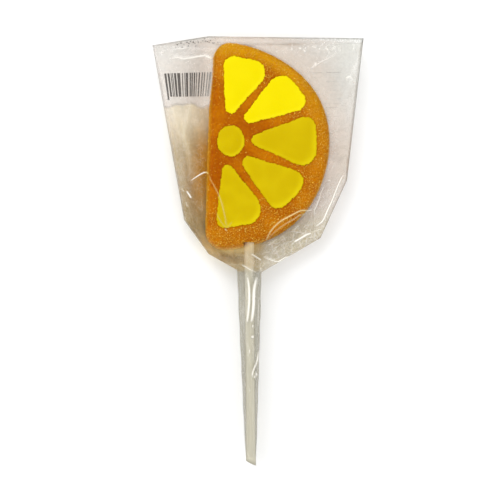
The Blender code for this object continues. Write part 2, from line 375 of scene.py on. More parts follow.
class Graph:
    """One material under construction."""

    MIX_FIRST, MIX_SECOND, MIX_RESULT = 6, 7, 2

    def __init__(self, name: str) -> None:
        """Starts a material with nothing but its output.

        Args:
            name: The material's name.
        """
        self.material = bpy.data.materials.new(name)
        self.material.use_nodes = True
        self.nodes = self.material.node_tree.nodes
        self.links = self.material.node_tree.links
        self.nodes.clear()
        self.output = self.nodes.new("ShaderNodeOutputMaterial")

    def node(self, kind: str, settings: dict[str, object], inputs: dict[int | str, object],
             output: int | str = 0) -> Wire:
        """Adds a node: its settings first, then a value or a link for each socket that is named.

        Args:
            kind: The node's type.
            settings: Attributes to set.
            inputs: Sockets by number or name.
            output: Which output to return.

        Returns:
            The output, as a Wire.
        """
        made = self.nodes.new(kind)
        for key, value in settings.items():
            setattr(made, key, value)
        for key, value in inputs.items():
            if isinstance(value, Wire):
                self.links.new(value.socket, made.inputs[key])
            else:
                made.inputs[key].default_value = value
        return Wire(self, made.outputs[output])

    def place(self) -> Wire:
        """Object coordinates, in metres."""
        return self.node("ShaderNodeTexCoord", {}, {}, "Object")

    def stretched(self, scale: tuple[float, float, float]) -> Wire:
        """Object coordinates scaled along each axis."""
        return self.node("ShaderNodeMapping", {}, {"Vector": self.place(), "Scale": scale})

    def noise(self, size_mm: float, detail: float = 2.0, vector: Wire | None = None,
              roughness: float = 0.5) -> Wire:
        """Soft noise from 0 to 1.

        Args:
            size_mm: How large its blobs are.
            detail: How many finer layers it has.
            vector: Where it is read, if not at the object's own coordinates.
            roughness: How strong the finer layers are.

        Returns:
            The noise.
        """
        inputs = {"Vector": vector or self.place(), "Scale": 1 / (size_mm * MM), "Detail": detail,
                  "Roughness": roughness}
        return self.node("ShaderNodeTexNoise", {}, inputs)

    def cells(self, size_mm: float) -> Wire:
        """Distance to the nearest of scattered points, about this far apart."""
        return self.node("ShaderNodeTexVoronoi", {}, {"Vector": self.place(), "Scale": 1 / (size_mm * MM)})

    def facets(self, size_mm: float, line_mm: float = 0.22) -> tuple[Wire, Wire]:
        """Flat-sided cells, like the flats between the folds of crumpled film.

        Args:
            size_mm: How far apart they are.
            line_mm: How wide their borders are.

        Returns:
            Lines of 1 along the borders, and a tone for each cell.
        """
        inputs = {"Vector": self.place(), "Scale": 1 / (size_mm * MM)}
        gap = self.node("ShaderNodeTexVoronoi", {"feature": "DISTANCE_TO_EDGE"}, inputs, "Distance")
        return 1 - gap.ramp(0.0, line_mm / size_mm), self.node("ShaderNodeTexVoronoi", {}, inputs, "Color")

    def field(self, name: str, output: str = "Fac") -> Wire:
        """A value kept for each of the mesh's points."""
        return self.node("ShaderNodeAttribute", {"attribute_name": name}, {}, output)

    def mix(self, share: Wire | float, first: Wire | Colour, second: Wire | Colour) -> Wire:
        """Goes from one colour to another.

        Args:
            share: 0 for the first, 1 for the second.
            first: A colour or a link.
            second: A colour or a link.

        Returns:
            The mixed colour.
        """
        ends = [c if isinstance(c, Wire) else (*c, 1.0) for c in (first, second)]
        inputs = {0: share, self.MIX_FIRST: ends[0], self.MIX_SECOND: ends[1]}
        return self.node("ShaderNodeMix", {"data_type": "RGBA"}, inputs, self.MIX_RESULT)

    def bump(self, height: Wire, distance_mm: float, strength: float = 1.0) -> Wire:
        """A normal tilted by the slope of a height."""
        inputs = {"Height": height, "Distance": distance_mm * MM, "Strength": strength}
        return self.node("ShaderNodeBump", {}, inputs)

    def principled(self, **inputs: object) -> Wire:
        """A Principled shader.

        Args:
            **inputs: A value or a link for each socket, named with _ for a space. Colours may be triples.

        Returns:
            The shader.
        """
        named = {}
        for key, value in inputs.items():
            wide = isinstance(value, tuple) and key.endswith(("Color", "Tint"))
            named[key.replace("_", " ")] = (*value, 1.0) if wide else value
        return self.node("ShaderNodeBsdfPrincipled", {}, named)

    def clear(self) -> Wire:
        """A shader that lets all light through."""
        return self.node("ShaderNodeBsdfTransparent", {}, {"Color": WHITE})

    def layered(self, share: Wire, under: Wire, over: Wire) -> Wire:
        """Under where share is 0, over where it is 1, between shaders."""
        return self.node("ShaderNodeMixShader", {}, {0: share, 1: under, 2: over})

    def finish(self, shader: Wire) -> bpy.types.Material:
        """Links the shader to the output and returns the material."""
        self.links.new(shader.socket, self.output.inputs["Surface"])
        return self.material


@dataclass(frozen=True)
class OrangeJelly:
    """Cloudy orange jelly under fine sugar, paler along its rim and towards the top, which is painted light.
    """

    deep: Colour = (0.345, 0.075, 0.0006)
    body: Colour = (0.560, 0.190, 0.0008)
    # The pale colour is painted light, laid on the rim and towards the top.
    pale: Colour = (0.610, 0.295, 0.0015)
    scatter: tuple[float, float, float] = (1.0, 0.35, 0.05)
    cloud_mm: float = 9.0
    speckle_mm: float = 0.9
    grain_mm: float = 0.42
    pit_mm: float = 0.5
    core_shade: float = 0.22

    def build(self) -> bpy.types.Material:
        """Colour from large clouds and fine grain, and a sugared bump.

        Returns:
            The material.
        """
        g = Graph("orange_jelly_sugared")
        cloud = g.noise(self.cloud_mm, 3.0).ramp(0.35, 0.65)
        speckle = g.noise(self.speckle_mm, 3.0, roughness=0.75).ramp(0.36, 0.64)
        grain = g.noise(self.grain_mm, 2.0, roughness=0.7)
        share = cloud * 0.48 + speckle * 0.48 - g.field("core") * self.core_shade
        colour = g.mix(share.clamped(), self.deep, self.body)
        # Painted light: the rim field pales the orange towards the top and on the strip along the straight
        # side.
        colour = g.mix((g.field("rim") * (0.60 + speckle * 0.5)).clamped(), colour, self.pale)
        height = grain * 0.7 + g.cells(self.pit_mm) * 0.5
        shader = g.principled(
            Base_Color=colour,
            Roughness=0.42 + g.noise(1.5) * 0.2,
            Subsurface_Weight=0.25,
            Subsurface_Radius=self.scatter,
            Subsurface_Scale=0.002,
            IOR=1.42,
            Specular_IOR_Level=0.03,
            Normal=g.bump(height, 0.12, 0.55),
        )
        return g.finish(shader)


@dataclass(frozen=True)
class YellowJelly:
    """Smooth opaque yellow jelly, in a painted lit copy for the upper pieces and a painted shaded copy for
    the rest.
    """

    name: str
    body: Colour
    # The paler colour is a painted highlight along the edge that faces the light.
    pale: Colour
    cloud_mm: float = 6.0
    dimple_mm: float = 1.1

    def build(self) -> bpy.types.Material:
        """Colour that pales along the rounded edge, most where it faces the light, which is a painted
        highlight, with faint clouds and a soft gloss.

        Returns:
            The material.
        """
        g = Graph(self.name)
        cloud = g.noise(self.cloud_mm, 3.0)
        share = (g.field("rim") * 0.75 + cloud.ramp(0.4, 0.75) * 0.25).clamped()
        shader = g.principled(
            Base_Color=g.mix(share, self.body, self.pale),
            Roughness=0.40 + g.noise(3.0) * 0.12,
            Subsurface_Weight=0.15,
            Subsurface_Radius=(1.0, 0.7, 0.05),
            Subsurface_Scale=0.0015,
            IOR=1.40,
            Specular_IOR_Level=0.03,
            Normal=g.bump(g.noise(self.dimple_mm, 3.0), 0.10, 0.35),
        )
        return g.finish(shader)


@dataclass(frozen=True)
class SugarGrain:
    """Sugar crystals steeped in the orange, a few of them still white."""

    orange: Colour = (0.60, 0.24, 0.002)
    white: Colour = (0.95, 0.72, 0.14)

    def build(self) -> bpy.types.Material:
        """Each crystal has one shade, from its own number.

        Returns:
            The material.
        """
        g = Graph("sugar_crystals")
        shader = g.principled(
            Base_Color=g.mix(g.field("shade"), self.orange, self.white),
            Roughness=0.22 + g.noise(0.8) * 0.15,
            IOR=1.54,
            Specular_IOR_Level=0.06,
            Subsurface_Weight=0.3,
            Subsurface_Radius=(1.0, 0.6, 0.3),
            Subsurface_Scale=0.0005,
        )
        return g.finish(shader)


@dataclass(frozen=True)
class StickPlastic:
    """Off-white extruded plastic with faint lines drawn along it, darker at its sides and its cut end by
    painted shade.
    """

    light: Colour = (0.60, 0.57, 0.46)
    dark: Colour = (0.52, 0.49, 0.38)
    # Colour of the painted shade on the stick's sides and its cut end.
    grime: Colour = (0.30, 0.28, 0.21)
    warm: Colour = (0.56, 0.46, 0.30)
    lit: Colour = (0.86, 0.74, 0.48)
    streak_mm: float = 0.5
    streak_stretch: float = 0.02

    def build(self) -> bpy.types.Material:
        """Streaks stretched along Y in the colour, the gloss and the bump. Near the jelly it is warmer.

        Returns:
            The material.
        """
        g = Graph("stick_plastic_drawn")
        streaks = g.noise(self.streak_mm, 3.0, g.stretched((1.0, self.streak_stretch, 1.0)))
        colour = g.mix(streaks.ramp(0.3, 0.7), self.light, self.dark)
        colour = g.mix(g.field("warm") * (0.8 + streaks * 0.4), colour, self.warm)
        colour = g.mix(g.field("lit") * (0.7 + streaks * 0.4), colour, self.lit)
        shader = g.principled(
            # Painted shade darkens the sides and the cut end.
            Base_Color=g.mix(g.field("grime"), colour, self.grime),
            Roughness=0.30 + streaks * 0.2,
            IOR=1.49,
            Subsurface_Weight=0.15,
            Subsurface_Radius=(1.0, 0.9, 0.7),
            Subsurface_Scale=0.001,
            Normal=g.bump(streaks, 0.05, 0.4),
        )
        return g.finish(shader)


@dataclass(frozen=True)
class ClearFilm:
    """Thin clear film. Its veil is the haze and ink of each place, with painted light and shade, and its
    creases carry white painted highlights.

    Where it clings to the jelly it loses most of its gloss, and the painted highlights on its creases take
    the jelly's colour.
    """

    # Colours of the painted highlights on creases and crumpled folds: white, and the jelly's yellow where the
    # film lies on it.
    crease: Colour = (0.93, 0.90, 0.82)
    jelly_crease: Colour = (0.95, 0.80, 0.34)
    # Colour that the film's own mottle and the painted shade of crumpled flats darken towards.
    grime: Colour = (0.20, 0.17, 0.10)
    crinkle_mm: float = 2.2
    fine_mm: float = 0.7
    mottle_mm: float = 1.3
    facets_mm: Point = (3.6, 1.5)
    mottle: float = 0.14
    facet_tone: float = 0.58
    facet_line: float = 0.90
    gloss_roughness: float = 0.07
    face_gloss: float = 0.025
    edge_gloss: float = 0.45
    by_jelly: float = 0.97

    def build(self) -> bpy.types.Material:
        """Transparent under a veil, with a gloss that grows as the fifth power of the slant.

        Returns:
            The material.
        """
        g = Graph("clear_film_creased")
        crinkle = g.noise(self.crinkle_mm, 4.0, roughness=0.6)
        fine = g.noise(self.fine_mm, 2.0)
        white = g.field("crease")
        veil = g.field("veil") * (0.72 + crinkle * 0.56)
        opacity = (veil + white).clamped()
        normal = g.bump(crinkle * 0.6 + fine * 0.12, 0.35, 0.45)
        crumple = g.field("crumple")
        (wide_line, wide_tone), (small_line, small_tone) = (g.facets(size) for size in self.facets_mm)
        # The crumpled flats' borders get painted highlights, and each flat a painted shade of its own.
        line = (wide_line * 0.6 + small_line * 0.35) * crumple
        tone = (wide_tone * 0.6 + small_tone * 0.5) * crumple
        mottle = g.noise(self.mottle_mm, 4.0, roughness=0.65).ramp(0.35, 0.68)
        # The mottle is the film's own uneven tone; the facet tone is painted shade.
        mottle_and_facet_shade = (mottle * self.mottle + tone * self.facet_tone).clamped()
        colour = g.mix(mottle_and_facet_shade, g.field("tint", "Color"), self.grime)
        dull = g.field("dull")
        # Painted highlights on the crumpled folds, in the jelly's colour where the film is dull against it.
        fold_colour = g.mix(dull, self.crease, self.jelly_crease)
        colour = g.mix((line * self.facet_line).clamped(), colour, fold_colour)
        # Painted highlights along the creases, in the jelly's colour where the film clings to it.
        crease_colour = g.mix(g.field("cling"), self.crease, self.jelly_crease)
        colour = g.mix((white * 1.6).clamped(), colour, crease_colour)
        haze = g.principled(Base_Color=colour, Roughness=0.38, Specular_IOR_Level=0.12, Normal=normal)
        body = g.layered(opacity, g.clear(), haze)
        gloss_inputs = {"Color": WHITE, "Roughness": self.gloss_roughness, "Normal": normal}
        gloss = g.node("ShaderNodeBsdfAnisotropic", {"distribution": "GGX"}, gloss_inputs)
        slant = g.node("ShaderNodeLayerWeight", {}, {"Blend": 0.5, "Normal": normal}, "Facing")
        square = slant * slant
        shine = square * square * slant * self.edge_gloss + self.face_gloss
        shine = (shine * (1 - dull * self.by_jelly)).clamped()
        return g.finish(g.layered(shine, body, gloss))


@dataclass(frozen=True)
class PackInk:
    """Ink on the back of the film, worn thin in places."""

    pale: Colour = (0.60, 0.58, 0.56)
    black: Colour = (0.024, 0.016, 0.009)
    worn_mm: float = 1.3

    def build(self) -> bpy.types.Material:
        """Each mark has its own darkness, and lets a little light through.

        Returns:
            The material.
        """
        g = Graph("pack_ink")
        worn = g.noise(self.worn_mm, 3.0)
        colour = g.mix(g.field("dark"), self.pale, self.black)
        shader = g.principled(Base_Color=colour, Roughness=0.5 + worn * 0.1)
        solid = (0.10 + g.field("dark") * 0.90 + (worn - 0.5) * 0.3).clamped()
        return g.finish(g.layered(solid, g.clear(), shader))


# The jelly


@dataclass
class Slice:
    """The half slice: its outline, its sides and the top that the yellow pieces are set in."""

    inlays: list[Inlay]
    stick: Stick
    radius: float = 41.6
    cut: float = 6.9
    corner: float = 7.7
    thick: float = 12.0
    floor: float = 0.7
    centre: Point = (-13.2, 41.9)
    turn: float = math.radians(-1.8)
    middle: Point = (14.0, 1.0)
    waves: tuple[tuple[float, int, float], ...] = ((0.48, 2, 0.3), (0.74, 3, 2.1), (0.74, 4, -0.8))
    nip: float = 0.9
    nip_reach: float = 6.0
    nip_span: Point = (14.0, 30.0)
    pocket_depth: float = 2.7
    notch_end: float = 3.6
    notch_half: float = 2.4
    notch_floor: float = 5.7
    around: int = 600
    top_rows: int = 84
    back_rows: int = 9
    shoulder_rows: int = 6
    back_round: float = 1.0
    draft: float = 0.5
    shoulder: Point = (2.9, 3.1)
    grain: float = 0.016
    # The orange's paleness is painted light towards the top, and on the straight side's strip painted light
    # with its sugar.
    pale_band: Point = (8.0, 3.0)
    lit_top_y: Point = (-12.0, 38.0)
    lit_strip_x: Point = (-5.0, -6.7)
    lit_strip_y: Point = (-34.0, -28.0)
    core_reach: Point = (20.0, 8.0)
    far: float = 50.0
    grid: Array = field(init=False)
    away: Array = field(init=False)

    def __post_init__(self) -> None:
        """Works out the skin once, for the body and for the sugar on it."""
        self.grid, self.away = self.surface()

    def to_world(self, points: Array) -> Array:
        """Turns and shifts plan points, or points in space, from the slice's frame to the model's.

        Args:
            points: (..., 2) or (..., 3) array in the slice's frame.

        Returns:
            An array of the same shape.
        """
        c, s = math.cos(self.turn), math.sin(self.turn)
        moved = points.copy()
        moved[..., 0] = c * points[..., 0] - s * points[..., 1] + self.centre[0]
        moved[..., 1] = s * points[..., 0] + c * points[..., 1] + self.centre[1]
        if points.shape[-1] == 3:
            moved[..., 2] = points[..., 2] + self.floor
        return moved

    def to_slice(self, points: Array) -> Array:
        """The reverse of to_world, in plan.

        Args:
            points: (n, 2) array in the model's frame.

        Returns:
            A (n, 2) array in the slice's frame.
        """
        c, s = math.cos(self.turn), math.sin(self.turn)
        x, y = points[:, 0] - self.centre[0], points[:, 1] - self.centre[1]
        return np.stack([c * x + s * y, -s * x + c * y], axis=1)

    def outline(self, count: int) -> Array:
        """The outline in its own frame: a long wavering arc, two rounded corners and the straight cut.

        The arc's radius gets a sum of sines of the angle, faded out towards the corners. The straight side
        draws in by the nip towards its upper corner.

        Args:
            count: How many points.

        Returns:
            A (count, 2) array, anticlockwise.
        """
        x = self.corner - self.cut
        y = math.sqrt((self.radius - self.corner) ** 2 - x * x)
        turn = math.atan2(y, x)
        angle = np.linspace(-turn, turn, 400)
        wave = sum(high * np.sin(many * angle + phase) for high, many, phase in self.waves)
        reach = self.radius + wave * (1 - (angle / turn) ** 4)
        rim = np.stack([reach * np.cos(angle), reach * np.sin(angle)], axis=1)
        top = arc((x, y), self.corner, turn, math.pi, 40)
        side = np.linspace((-self.cut, y), (-self.cut, -y), 40)[1:-1]
        bottom = arc((x, -y), self.corner, math.pi, 2 * math.pi - turn, 40)
        loop = np.vstack([rim, top[1:], side, bottom[:-1]])
        near = np.clip((self.nip_reach - self.cut - loop[:, 0]) / self.nip_reach, 0.0, 1.0)
        loop[:, 0] += self.nip * near * smoothstep(loop[:, 1], *self.nip_span)
        return evenly_spaced(loop, count)

    def side_profile(self) -> Array:
        """Inset and height from the back's edge up to the flat of the top: a quarter round, a draft, a round.

        Returns:
            A (rows, 2) array.
        """
        low = np.linspace(0.0, math.pi / 2, 6)
        high = np.linspace(0.0, math.pi / 2, 13)[1:]
        wide, tall = self.shoulder
        brow = self.thick - tall
        back = self.back_round * np.stack([1.0 - np.sin(low), 1.0 - np.cos(low)], axis=1)
        wall = np.stack([np.linspace(0.0, self.draft, 9), np.linspace(self.back_round, brow, 9)], axis=1)[1:]
        top = np.stack([self.draft + wide * (1 - np.cos(high)), brow + tall * np.sin(high)], axis=1)
        return np.vstack([back, wall, top])

    def inlay_distance(self, plan: Array) -> Array:
        """Distance from plan points to the nearest yellow piece, negative under one.

        Args:
            plan: (n, 2) array in the slice's frame.

        Returns:
            A (n,) array.
        """
        return np.min([signed_distance(plan, inlay.loop[::3]) for inlay in self.inlays], axis=0)

    def notch_distance(self, plan: Array) -> Array:
        """Distance from plan points to the place where the edge is open above the stick, negative inside.

        It is a rectangle along the stick's axis that ends at a level line.

        Args:
            plan: (n, 2) array in the slice's frame.

        Returns:
            A (n,) array.
        """
        start = -2 * self.notch_end
        low, high = (float(self.stick.axis_x(y)) for y in (start, self.notch_end))
        half = self.notch_half
        outer = [(low - half, start), (low + half, start)]
        inner = [(high + half, self.notch_end), (high - half, self.notch_end)]
        return signed_distance(plan, self.to_slice(np.array(outer + inner)))

    def surface(self) -> tuple[Array, Array]:
        """The whole skin as a grid: up from the middle of the back, round the side and in over the top.

        The top sinks by the pocket's depth where the distance to a yellow piece falls below zero, and to
        the notch's floor above the stick. A sum of long sines and a fine random grain make it uneven.

        Returns:
            The (rows, columns, 3) grid in the slice's frame, and the distance of each point to the nearest
            yellow piece.
        """
        loop = self.outline(self.around)
        normal = outward(loop)
        profile = self.side_profile()
        side = loop[None] - normal[None] * profile[:, 0, None, None]
        side = np.dstack([side, np.broadcast_to(profile[:, 1, None], side.shape[:2])])
        middle = np.array(self.middle)
        inwards = np.linspace(0.0, 1.0, self.top_rows + 1)[1:-1, None, None]
        top = side[-1, None, :, :2] * (1 - inwards) + middle * inwards
        top = np.dstack([top, np.full(top.shape[:2], self.thick)])
        spread = np.linspace(0.12, 0.97, self.back_rows)[:, None, None]
        back = side[0, None, :, :2] * spread + middle * (1 - spread)
        back = np.dstack([back, np.zeros(back.shape[:2])])
        grid = np.concatenate([back, side, top])

        plan = grid[..., :2].reshape(-1, 2)
        away = np.full(grid.shape[:2], self.far)
        first_top = len(back) + len(profile) - self.shoulder_rows
        rows = slice(first_top, None)
        away[rows] = self.inlay_distance(grid[rows, :, :2].reshape(-1, 2)).reshape(-1, self.around)
        x, y = plan[:, 0].reshape(away.shape), plan[:, 1].reshape(away.shape)
        swell = 0.07 * np.sin(0.21 * x + 0.9) * np.sin(0.17 * y + 0.4)
        swell += 0.03 * np.sin(0.9 * x) * np.sin(0.8 * y)
        level = smoothstep(grid[..., 2], 6.0, self.thick)
        grain = np.random.default_rng(SEED).normal(0.0, self.grain, away.shape)
        grain *= np.clip(np.hypot(x - middle[0], y - middle[1]) / 30.0, 0.08, 1.0)
        pocket = self.pocket_depth * smoothstep(away, -0.1, -0.55)
        grid[..., 2] += level * (swell + grain) - pocket
        notch = smoothstep(self.notch_distance(plan).reshape(away.shape), 0.1, -0.1)
        grid[..., 2] -= notch * np.maximum(grid[..., 2] - self.notch_floor, 0.0)
        return grid, away

    def lit_paleness(self, plan: Array) -> Array:
        """How pale the orange is: a little in the round band outside the segments and much more towards the
        top, which is painted light, and on the strip along the straight side, partly its sugar and partly
        painted light.

        Args:
            plan: (..., 2) array in the slice's frame.

        Returns:
            An array from 0 to 1.
        """
        x, y = plan[..., 0], plan[..., 1]
        band = smoothstep(self.radius - np.hypot(x, y), *self.pale_band)
        top = smoothstep(y, *self.lit_top_y)
        strip = smoothstep(x, *self.lit_strip_x) * smoothstep(y, *self.lit_strip_y)
        return np.clip(band * (0.12 + 0.75 * top) + 0.55 * strip, 0.0, 1.0)

    def build(self, finish: bpy.types.Material) -> bpy.types.Object:
        """Makes the orange body.

        Args:
            finish: Its material.

        Returns:
            The new object.
        """
        skin = Skin()
        core = smoothstep(np.hypot(self.grid[..., 0], self.grid[..., 1]), *self.core_reach)
        # The rim field is the painted light of the orange: paler towards the top and along the straight side.
        skin.add_grid(self.to_world(self.grid), caps=True, rim=self.lit_paleness(self.grid[..., :2]), core=core)
        piece = skin.make("orange_body", finish)
        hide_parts("jelly_slice")
        return piece


@dataclass
class Inlay:
    """One raised yellow piece, set in a pocket of the slice."""

    node: str
    shape: Array
    # True for pieces that take the painted lit yellow rather than the painted shaded one.
    bright: bool
    swell: float = 0.30
    shoulder: float = 0.46
    depth: float = 2.4
    around: int = 320
    lip: float = 0.75
    light: Point = (0.72, -0.69)
    waves: tuple[Point, ...] = ((0.10, 5), (0.07, 11), (0.06, 19), (0.08, 31), (0.07, 47), (0.06, 67))
    plain: Array = field(init=False)
    wave: Array = field(init=False)
    loop: Array = field(init=False)

    def __post_init__(self) -> None:
        """Works out the outline, which wavers by a sum of sines along its length."""
        self.plain = evenly_spaced(self.shape, self.around)
        draw = np.random.default_rng(sum(map(ord, self.node)))
        t = np.linspace(0.0, 2 * math.pi, self.around, endpoint=False)
        self.wave = sum(high * np.sin(many * t + draw.uniform(0, 6.28)) for high, many in self.waves)
        self.loop = self.plain + outward(self.plain) * self.wave[:, None]

    def build(self, slice_body: Slice, finish: bpy.types.Material) -> bpy.types.Object:
        """Makes the piece: a foot in the pocket, a lip on the orange, a rounded shoulder and a low dome.

        Rows shrink the outline by an inset, or draw it towards its middle, and lift it. The outline's
        wavering fades out up the shoulder.

        Args:
            slice_body: The slice that it is set in.
            finish: Its material.

        Returns:
            The new object.
        """
        top = slice_body.thick
        turn = np.linspace(0.0, math.pi / 2, 8)
        foot = [(1.0, -self.depth), (0.75, -self.depth + 0.2), (0.7, -0.6), (0.3, -0.16), (0.0, -0.05)]
        lip = [(self.lip * (1 - math.cos(a)), self.shoulder * math.sin(a)) for a in turn]
        profile = np.array(foot + lip)
        normal = outward(self.plain)
        inset = profile[:, 0, None]
        shift = self.wave[None] * smoothstep(inset, self.lip, 0.1) - inset
        rings = self.plain[None] + normal[None] * shift[..., None]
        rings = np.dstack([rings, np.broadcast_to(top + profile[:, 1, None], rings.shape[:2])])
        middle = self.loop.mean(axis=0)
        inwards = np.linspace(0.0, 0.96, 18)[1:, None]
        dome = rings[-1, None, :, :2] * (1 - inwards[..., None]) + middle * inwards[..., None]
        height = top + self.shoulder + self.swell * (1 - (1 - inwards) ** 2)
        dome = np.dstack([dome, np.broadcast_to(height, dome.shape[:2])])
        grid = np.concatenate([rings, dome])
        depth = np.concatenate([profile[:, 0], self.lip + inwards[:, 0] * 9.0])
        # Painted highlight: the rim field is strongest on the edges that face the light, to the lower right.
        lit = np.clip(normal @ np.array(self.light), 0.0, 1.0)
        rim = smoothstep(depth, 2.6, 0.3)[:, None] * (0.12 + 0.88 * lit)[None]
        skin = Skin()
        skin.add_grid(slice_body.to_world(grid), caps=True, rim=rim)
        piece = skin.make(f"{self.node}_yellow", finish)
        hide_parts(self.node)
        return piece


@dataclass(frozen=True)
class Wedge:
    """One segment, by its tip, its two outer corners and the bulge between them, as seen from the dot."""

    tip: Point
    span: Point
    corner_reach: float
    bulge_reach: float
    roundings: tuple[float, float, float, float]
    # True for pieces that take the painted lit yellow rather than the painted shaded one.
    bright: bool = False


@dataclass(frozen=True)
class Fan:
    """How the five segments spread from the dot, as angles in degrees from the slice's own +X."""

    hub: Point = (2.3, 2.0)
    dot: Point = (5.45, 6.2)
    # The two upper segments take the painted lit yellow; the others and the dot take the painted shaded one.
    wedges: tuple[Wedge, ...] = (
        Wedge((7.7, 106.9), (97.0, 60.6), 35.0, 33.4, (2.3, 5.1, 20.0, 4.4), bright=True),
        Wedge((5.6, 75.2), (57.6, 24.2), 35.0, 34.4, (2.4, 4.3, 4.0, 5.8), bright=True),
        Wedge((4.3, 9.5), (20.5, -18.8), 35.8, 34.2, (2.4, 5.5, 20.0, 4.6)),
        Wedge((3.9, -82.7), (-21.3, -56.6), 34.2, 34.0, (2.8, 4.7, 4.0, 4.6)),
        Wedge((6.7, -114.0), (-59.3, -98.3), 35.9, 34.0, (2.4, 3.7, 10.0, 6.5)),
    )

    def at(self, reach: float, degrees: float) -> Point:
        """A point at this reach from the dot."""
        a = math.radians(degrees)
        return (self.hub[0] + reach * math.cos(a), self.hub[1] + reach * math.sin(a))

    def inlays(self) -> list[Inlay]:
        """The five segments and the dot, which is a little oval.

        Returns:
            The six pieces.
        """
        made = []
        for number, wedge in enumerate(self.wedges, start=1):
            first, last = wedge.span
            corners = (
                self.at(*wedge.tip),
                self.at(wedge.corner_reach, last),
                self.at(wedge.bulge_reach, (first + last) / 2),
                self.at(wedge.corner_reach, first),
            )
            shape = rounded_polygon(np.array(corners), wedge.roundings)
            made.append(Inlay(f"segment_{number}", shape, wedge.bright))
        circle = arc((0.0, 0.0), 1.0, 0.0, 2 * math.pi, 121)[:-1]
        return [*made, Inlay("core_dot", circle * self.dot + self.hub, False, swell=0.55, around=120)]


@dataclass
class Sugar:
    """Fine crystals stuck to the orange, in one mesh."""

    count: int = 12500
    smallest: float = 0.10
    largest: float = 0.36
    white_share: float = 0.042
    tinted_shade: float = 0.42
    clear_of_yellow: float = 0.35
    back_share: float = 0.25
    sugared_rim: Point = (20.0, 33.0)
    sugared_side: Point = (-5.9, -6.6)
    proud: float = 0.18

    def build(self, body: Slice, finish: bpy.types.Material) -> bpy.types.Object:
        """Drops crystals on the body's skin, as many on each face as its area asks.

        Each is a box of random size and turn with its corners knocked about, and it sits half sunk.

        Args:
            body: The slice that they lie on.
            finish: Their material.

        Returns:
            The new object.
        """
        draw = np.random.default_rng(SEED + 1)
        grid, away = body.grid, body.away
        a, b = grid[:-1], np.roll(grid, -1, axis=1)[:-1]
        d = grid[1:]
        face = np.cross(b - a, d - a)
        area = np.linalg.norm(face, axis=2)
        clear = np.minimum(away[:-1], away[1:]) > self.clear_of_yellow
        weight = area * clear * np.where(face[..., 2] < -0.9 * area, self.back_share, 1.0)
        weight *= 0.5 + smoothstep(a[..., 2], 6.0, 12.0) * 0.5
        rim = smoothstep(np.hypot(a[..., 0], a[..., 1]), *self.sugared_rim)
        rim = rim + 0.8 * smoothstep(a[..., 0], *self.sugared_side)
        weight *= 0.10 + 0.90 * np.minimum(rim, 1.0)
        picks = draw.choice(weight.size, self.count, p=(weight / weight.sum()).ravel())
        row, column = np.unravel_index(picks, weight.shape)
        u, v = draw.random((2, self.count, 1))
        spot = a[row, column] + (b - a)[row, column] * u + (d - a)[row, column] * v
        up = (face / np.maximum(area, TINY)[..., None])[row, column]

        size = self.smallest + (self.largest - self.smallest) * draw.random((self.count, 1)) ** 2.2
        sides = size * draw.uniform(0.7, 1.2, (self.count, 3))
        cube = np.stack(np.meshgrid(*[[-0.5, 0.5]] * 3, indexing="ij"), axis=3).reshape(8, 3)
        corner = cube[None] * sides[:, None] * draw.uniform(0.72, 1.1, (self.count, 8, 3))
        q = draw.normal(size=(self.count, 4))
        w, x, y, z = (q / np.linalg.norm(q, axis=1, keepdims=True)).T
        turn = np.stack([
            1 - 2 * (y * y + z * z), 2 * (x * y - z * w), 2 * (x * z + y * w),
            2 * (x * y + z * w), 1 - 2 * (x * x + z * z), 2 * (y * z - x * w),
            2 * (x * z - y * w), 2 * (y * z + x * w), 1 - 2 * (x * x + y * y),
        ], axis=1).reshape(-1, 3, 3)
        points = np.einsum("nij,nkj->nki", turn, corner) + (spot + up * size * self.proud)[:, None]
        quads = np.array([
            [0, 1, 3, 2], [4, 6, 7, 5], [0, 4, 5, 1], [2, 3, 7, 6], [0, 2, 6, 4], [1, 5, 7, 3],
        ])
        faces = (quads[None] + 8 * np.arange(self.count)[:, None, None]).reshape(-1, 4)
        white = draw.random(self.count) < self.white_share
        shade = np.where(white, 1.0, draw.random(self.count) * self.tinted_shade)
        skin = Skin()
        skin.add(body.to_world(points.reshape(-1, 3)), [faces], shade=np.repeat(shade, 8)[:, None])
        piece = skin.make("sugar_crystals", finish)
        piece.data.shade_flat()
        return piece


# The stick


